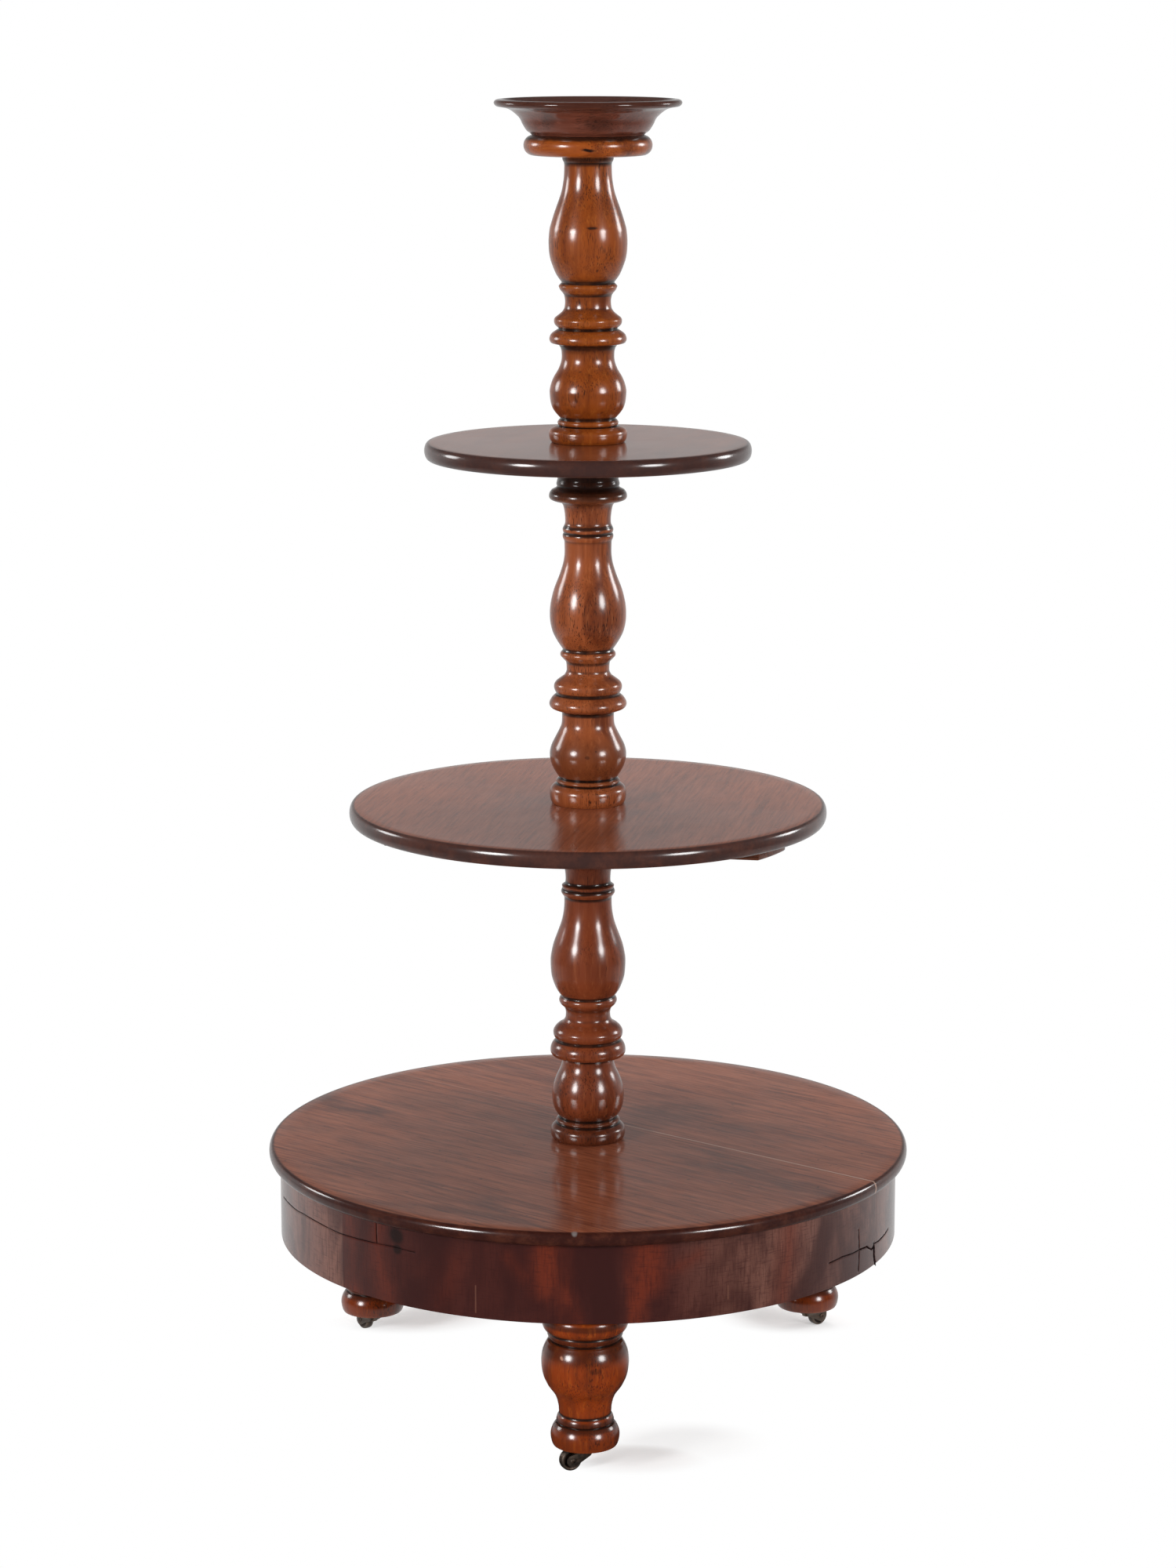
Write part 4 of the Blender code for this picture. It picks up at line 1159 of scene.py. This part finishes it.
# Beside a few knots and marks: the wide bands under each shelf are painted shade with some dirt, and the
# band under the collar is painted shade. The narrow pairs darken the grooves where each shaft meets its
# capital; two more bands darken the lower column's foot and the middle column's ball.
column_knots_and_shade = {
    "lower_column": [((0.012, -0.042, 0.470), (0.002, 0.02, 0.008), 0.5),
                     dark_band(0.6770, 0.0360, 0.80), dark_band(0.6033, 0.0030, 0.90),
                     dark_band(0.6110, 0.0028, 0.90), dark_band(0.3080, 0.0280, 0.40)],
    "middle_column": [((-0.001, -0.042, 0.769), (0.005, 0.02, 0.003), 0.7),
                      ((0.009, -0.042, 0.776), (0.002, 0.02, 0.002), 0.7),
                      dark_band(1.0980, 0.0430, 0.88), dark_band(1.0272, 0.0030, 0.90),
                      dark_band(1.0350, 0.0028, 0.90), dark_band(0.7600, 0.0360, 0.38)],
    "upper_column": [dark_band(1.4560, 0.0050, 0.65),
                     ((0.005, -0.042, 1.3817), (0.008, 0.02, 0.0022), 0.9),
                     ((0.010, -0.040, 1.333), (0.002, 0.02, 0.002), 0.7)],
}


def column_outline(node, shares, foot, top, with_capital):
    low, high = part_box(node)
    outline = [(0, low.z), (column_tenon_radius, low.z), (column_tenon_radius, foot)]
    shaft = top - foot - (capital_height if with_capital else 0)
    outline += turning_outline(shares, column_radius, foot, shaft)
    if with_capital:
        outline += turning_outline(capital_shares, column_radius, foot + shaft, capital_height)
        bore = tenon_hole_radius
        outline += [(bore, top), (bore, top - socket_depth), (0, top - socket_depth)]
    else:
        outline += [(top_tenon_radius, top), (top_tenon_radius, high.z), (0, high.z)]
    return outline


middle_low, middle_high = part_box("middle_shelf")
upper_low, upper_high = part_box("upper_shelf")
collar_low, collar_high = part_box("dish_collar")
column_plans = {
    "lower_column": (lower_column_shares, base_high.z, middle_low.z),
    "middle_column": (middle_column_shares, middle_high.z, upper_low.z),
    "upper_column": (upper_column_shares, upper_high.z, collar_low.z),
}
for node, (shares, foot, top) in column_plans.items():
    has_capital = node != "upper_column"
    outline = column_outline(node, shares, foot + veneer_gap, top - veneer_gap, has_capital)
    column = turned_mesh(node + "_turned", outline, column_sides)
    finish = polished_turning(node + "_polish", *column_tones[node], upright_grain, column_knots_and_shade[node])
    put_in_place(column, finish, "table", "column_mahogany", node)

# The middle and the upper shelf.
# Each is one wide mahogany board turned to a round with a half-round nosing, with a hole
# in the middle for the tenon of the column above.

shelf_sides = 200
shelf_figure = 0.35
# Radius, direction of the grain and tone of each shelf
shelf_plans = {
    "middle_shelf": (0.281, math.radians(79.6), 1.22),
    "upper_shelf": (0.1897, math.radians(72), 0.84),
}
for node, (radius, grain_angle, tone) in shelf_plans.items():
    low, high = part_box(node)
    outline = round_board_outline(radius, low.z, high.z)
    shelf = finished_mesh(node + "_planed", turned_round(outline, shelf_sides, ring=True))
    finish = polished_boards(node + "_polish", (0.0, 0.0, -grain_angle), radius, tone,
                             shelf_figure, shelf_edge)
    put_in_place(shelf, finish, "table", "board_mahogany", node)

# The two battens under the middle shelf.
# Mahogany strips that keep the wide board flat, one on each side of the column, cut to
# the round at their ends and held by two countersunk screws each.

batten_inner_edge = 0.055
batten_outer_edge = 0.1165
batten_reach = 0.2485
batten_angle = math.radians(-10.4)
batten_screw_spread = 0.150
batten_edge = 0.0016
batten_end_steps = 8
# The battens' low tone is painted shade, for their place under the middle shelf.
batten_shade_tone = 0.42
batten_screw_turn = 0.9
batten_screw = (0.0042, 0.0024, 0.0019, 0.028, 0.0009)


def batten_outline(turn):
    """A strip whose two ends follow a round that is a little smaller than the shelf."""
    outline = []
    for start, end, side in ((batten_outer_edge, batten_inner_edge, 1),
                             (batten_inner_edge, batten_outer_edge, -1)):
        for count in range(batten_end_steps + 1):
            y = -(start + (end - start) * count / batten_end_steps)
            outline.append((side * math.sqrt(batten_reach**2 - y**2), y))
    spin = Matrix.Rotation(turn, 2)
    return [tuple(spin @ Vector(point)) for point in outline]


batten_finish = polished_boards("batten_polish", (0.0, 0.0, -batten_angle), 1.0, batten_shade_tone)
batten_screw_steel = screw_steel("batten_screw_steel")
for name, half_turn in (("front_batten", 0.0), ("rear_batten", math.pi)):
    low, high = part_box(name)
    strip = slab(batten_outline(batten_angle + half_turn), low.z, high.z)
    strip = rounded(name + "_planed", strip, batten_edge, 3)
    put_in_place(strip, batten_finish, "table", "board_mahogany", name)
    for number, side in ((1, -1), (2, 1)):
        node = name + "_screw_" + str(number)
        place = Matrix.Rotation(batten_angle + half_turn, 3, "Z") @ Vector(
            (side * batten_screw_spread, -(batten_inner_edge + batten_outer_edge) / 2, 0))
        screw = screw_mesh(node + "_slotted", *batten_screw)
        set_down(screw, place.x, place.y, batten_screw_turn * number + half_turn, low.z)
        put_in_place(screw, batten_screw_steel, "table", "screw_steel", node)

# The collar and the dish.
# A turned ring of the columns' amber wood, and on it a shallow dish turned from a darker
# block, with a broad rounded rim that has cracked a little at the right.

dish_sides = 128
dish_radius = 0.1076
dish_depth = 0.0401
dish_wall = 0.009
dish_bore_radius = 0.0113
dish_bore_depth = 0.0053
dish_floor_rings = (0.42, 0.28, 0.14)
dish_curve_steps = 4
dish_coat_roughness = 0.10
collar_radius = 0.0738
collar_waist = 0.0631
collar_steps = 24
dish_outer = [(600, 0), (612, 40), (654, 127), (696, 304), (729, 479), (801, 656), (860, 743),
              (936, 788), (970, 803), (990, 845), (1000, 905), (990, 960), (971, 990), (945, 1000)]
dish_inner = [(945, 1000), (915, 984), (818, 806), (734, 613), (664, 355), (623, 145), (558, 0)]

collar_middle = (collar_low.z + collar_high.z) / 2
collar_half = (collar_high.z - collar_low.z) / 2
collar_line = [(dish_bore_radius, collar_low.z)]
for count in range(collar_steps + 1):
    angle = math.pi * count / collar_steps
    bulge = collar_waist + (collar_radius - collar_waist) * math.sin(angle)
    collar_line.append((bulge, collar_middle - collar_half * math.cos(angle)))
collar_line.append((dish_bore_radius, collar_high.z))
collar = turned_mesh("dish_collar_turned", collar_line, dish_sides, ring=True)
collar_body = (0.290, 0.0620, 0.0075, 1.0)
collar_bright = (0.390, 0.1150, 0.0220, 1.0)
collar_grain = (0.0, 0.0, 0.5)
# A mark on the front, and a band of painted shadow under the dish.
collar_knots_and_shade = [((0.000, -0.074, 1.4705), (0.010, 0.02, 0.0025), 1.0),
                dark_band(collar_high.z, 0.0060, 0.92)]
collar_finish = polished_turning("collar_polish", collar_body, collar_bright, collar_grain, collar_knots_and_shade)
put_in_place(collar, collar_finish, "table", "column_mahogany", "dish_collar")

dish_low, dish_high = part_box("dish")
dish_floor = dish_low.z + dish_wall
bore_top = dish_low.z + dish_bore_depth
dish_line = [(0, bore_top), (dish_bore_radius, bore_top), (dish_bore_radius, dish_low.z)]
dish_line += [(dish_radius * share, dish_low.z + dish_depth * min(rise, 1.0))
              for share, rise in smooth_run(dish_outer, dish_curve_steps)]
dish_line += [(dish_radius * share, dish_floor + (dish_high.z - dish_floor) * min(rise, 1.0))
              for share, rise in smooth_run(dish_inner, dish_curve_steps)[1:]]
dish_line += [(dish_radius * share, dish_floor) for share in dish_floor_rings]
dish_line.append((0, dish_floor))
dish = turned_mesh("dish_turned", dish_line, dish_sides)
dish_body = (0.120, 0.0330, 0.0190, 1.0)
dish_bright = (0.190, 0.0600, 0.0360, 1.0)
dish_grain = (0.0, 0.0, 0.2)
# A darker band along the rim, the crack in it, and two dark streaks on the outside
dish_marks = [dark_band(dish_high.z, 0.0120, 0.62),
              ((0.0886, -0.0611, 1.519), (0.0010, 0.0120, 0.0050), 1.0),
              ((0.012, -0.074, 1.500), (0.022, 0.03, 0.012), 0.45),
              ((-0.045, -0.066, 1.503), (0.010, 0.03, 0.014), 0.35)]
dish_finish = polished_turning("dish_polish", dish_body, dish_bright, dish_grain, dish_marks,
                               gloss=dish_coat_roughness)
put_in_place(dish, dish_finish, "table", "dish_mahogany", "dish")

# The floor, the lamps and the camera.
# A white sweep, two umbrellas in front, a round lamp at each side for the bright lines down
# the turnings' edges, and a soft box above that the polish doesn't mirror.

camera_height = 1.6853
camera_distance = 4.7219
camera_pitch = 0.1998
camera_lens = 93.94
camera_sensor = 36.0

camera_data = bpy.data.cameras.new("camera")
camera_data.lens = camera_lens
camera_data.sensor_width = camera_sensor
camera = new_object("camera", camera_data)
camera.location = (0.0, -camera_distance, camera_height)
camera.rotation_euler = (math.pi / 2 - camera_pitch, 0.0, 0.0)
bpy.context.scene.camera = camera

floor_radius = 9.0
bm = bmesh.new()
bmesh.ops.create_circle(bm, cap_ends=True, segments=96, radius=floor_radius)
floor_mesh = plain_mesh("floor", bm)
floor = new_object("floor", floor_mesh)
floor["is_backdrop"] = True


def bare_finish(block):
    """A material or a world with no nodes yet."""
    block.use_nodes = True
    block.node_tree.nodes.clear()
    return block


def closed_off(kind, source):
    """Join the last node to the output of a material or a world."""
    feed(source, source.id_data.nodes.new("ShaderNodeOutput" + kind).inputs["Surface"])


def shining(block, kind, strength):
    return step(kind, [("Color", (1.0, 1.0, 1.0, 1.0)), ("Strength", strength)], block=block)


def either(choice, first, second):
    return step("MixShader", [(0, choice), (1, first), (2, second)])


# The paper is white to the camera, except for the soft grey that the feet throw around them
paper = bare_finish(bpy.data.materials.new("paper_sweep"))
place = step("TexCoord", output="Object", block=paper)
lit = step("BsdfDiffuse", [("Color", (0.90, 0.90, 0.90, 1.0))], block=paper)
shaded = step("AddShader", [(0, lit), (1, shining(paper, "Emission", 0.34))])
shade_places = [((0.055, -0.285, 0.0), (0.090, 0.055, 1.0), 1.0),
                ((0.110, -0.235, 0.0), (0.100, 0.070, 1.0), 0.42),
                ((-0.225, 0.215, 0.0), (0.120, 0.070, 1.0), 1.0),
                ((0.260, 0.215, 0.0), (0.095, 0.070, 1.0), 1.0)]
shade = blemishes(place, shade_places, 0.0)
seen = either(shade, shining(paper, "Emission", 1.0), shaded)

# The polish mirrors a bright floor behind and beside the table and a dark one in front
heading = part_of(move("NORMALIZE", place), "Y")
reach = move("LENGTH", place, output="Value")
beside = sum_up("MULTIPLY", between(heading, -0.80, 0.50, 0.03, 0.62),
                between(reach, 3.0, 1.6))
straight_behind = between(heading, -0.2, 0.9, 0.02, 0.62)
mirrored = shining(paper, "Emission", sum_up("MAXIMUM", straight_behind, beside))
bounced = either(step("LightPath", output="Is Glossy Ray", block=paper), lit, mirrored)
camera_ray = step("LightPath", output="Is Camera Ray", block=paper)
closed_off("Material", either(camera_ray, bounced, seen))
floor_mesh.materials.append(paper)

# The room is white to the camera, even for the wood, and bright behind for the polish
room = bare_finish(bpy.data.worlds.new("white_room"))
bpy.context.scene.world = room
way = step("TexCoord", output="Generated", block=room)
behind = between(part_of(way, "Y"), -0.1, 0.6, 0.03, 1.0)
height = step("MapRange", [("Value", part_of(way, "Z")), ("From Min", 0.05), ("From Max", 0.40),
                           ("To Min", 0.58), ("To Max", 0.115)])
mirrored = shining(room, "Background", sum_up("MULTIPLY", behind, height))
glossy = step("LightPath", output="Is Glossy Ray", block=room)
bounced = either(glossy, shining(room, "Background", 0.27), mirrored)
camera_ray = step("LightPath", output="Is Camera Ray", block=room)
closed_off("World", either(camera_ray, bounced, shining(room, "Background", 1.0)))


def hang_lamp(name, azimuth, distance, height, width, tall, power, aim, mirrored=True):
    """A soft lamp. Its azimuth is counted from the camera's side, to the right."""
    lamp_data = bpy.data.lights.new(name, "AREA")
    lamp_data.shape = "ELLIPSE" if width == tall else "RECTANGLE"
    lamp_data.size = width
    lamp_data.size_y = tall
    lamp_data.energy = power
    lamp = new_object(name, lamp_data)
    angle = math.radians(azimuth)
    lamp.location = (distance * math.sin(angle), -distance * math.cos(angle), height)
    towards = Vector((0.0, 0.0, aim)) - lamp.location
    lamp.rotation_euler = towards.to_track_quat("-Z", "Y").to_euler()
    lamp.visible_glossy = mirrored


# Azimuth, distance, height, width, length, power and the height that the lamp is aimed at
hang_lamp("left_umbrella", -46, 9.0, 3.3, 2.6, 2.6, 500.0, 0.8)
hang_lamp("right_umbrella", 46, 9.0, 3.3, 2.6, 2.6, 400.0, 0.8)
hang_lamp("left_side_lamp", -112, 6.0, 2.5, 1.7, 1.7, 70.0, 0.8)
hang_lamp("right_side_lamp", 112, 6.0, 2.5, 1.7, 1.7, 95.0, 0.8)
hang_lamp("overhead_softbox", 180, 0.9, 3.3, 1.6, 1.2, 44.0, 0.7, mirrored=False)

bpy.context.scene.view_settings.view_transform = "Standard"

low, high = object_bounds()
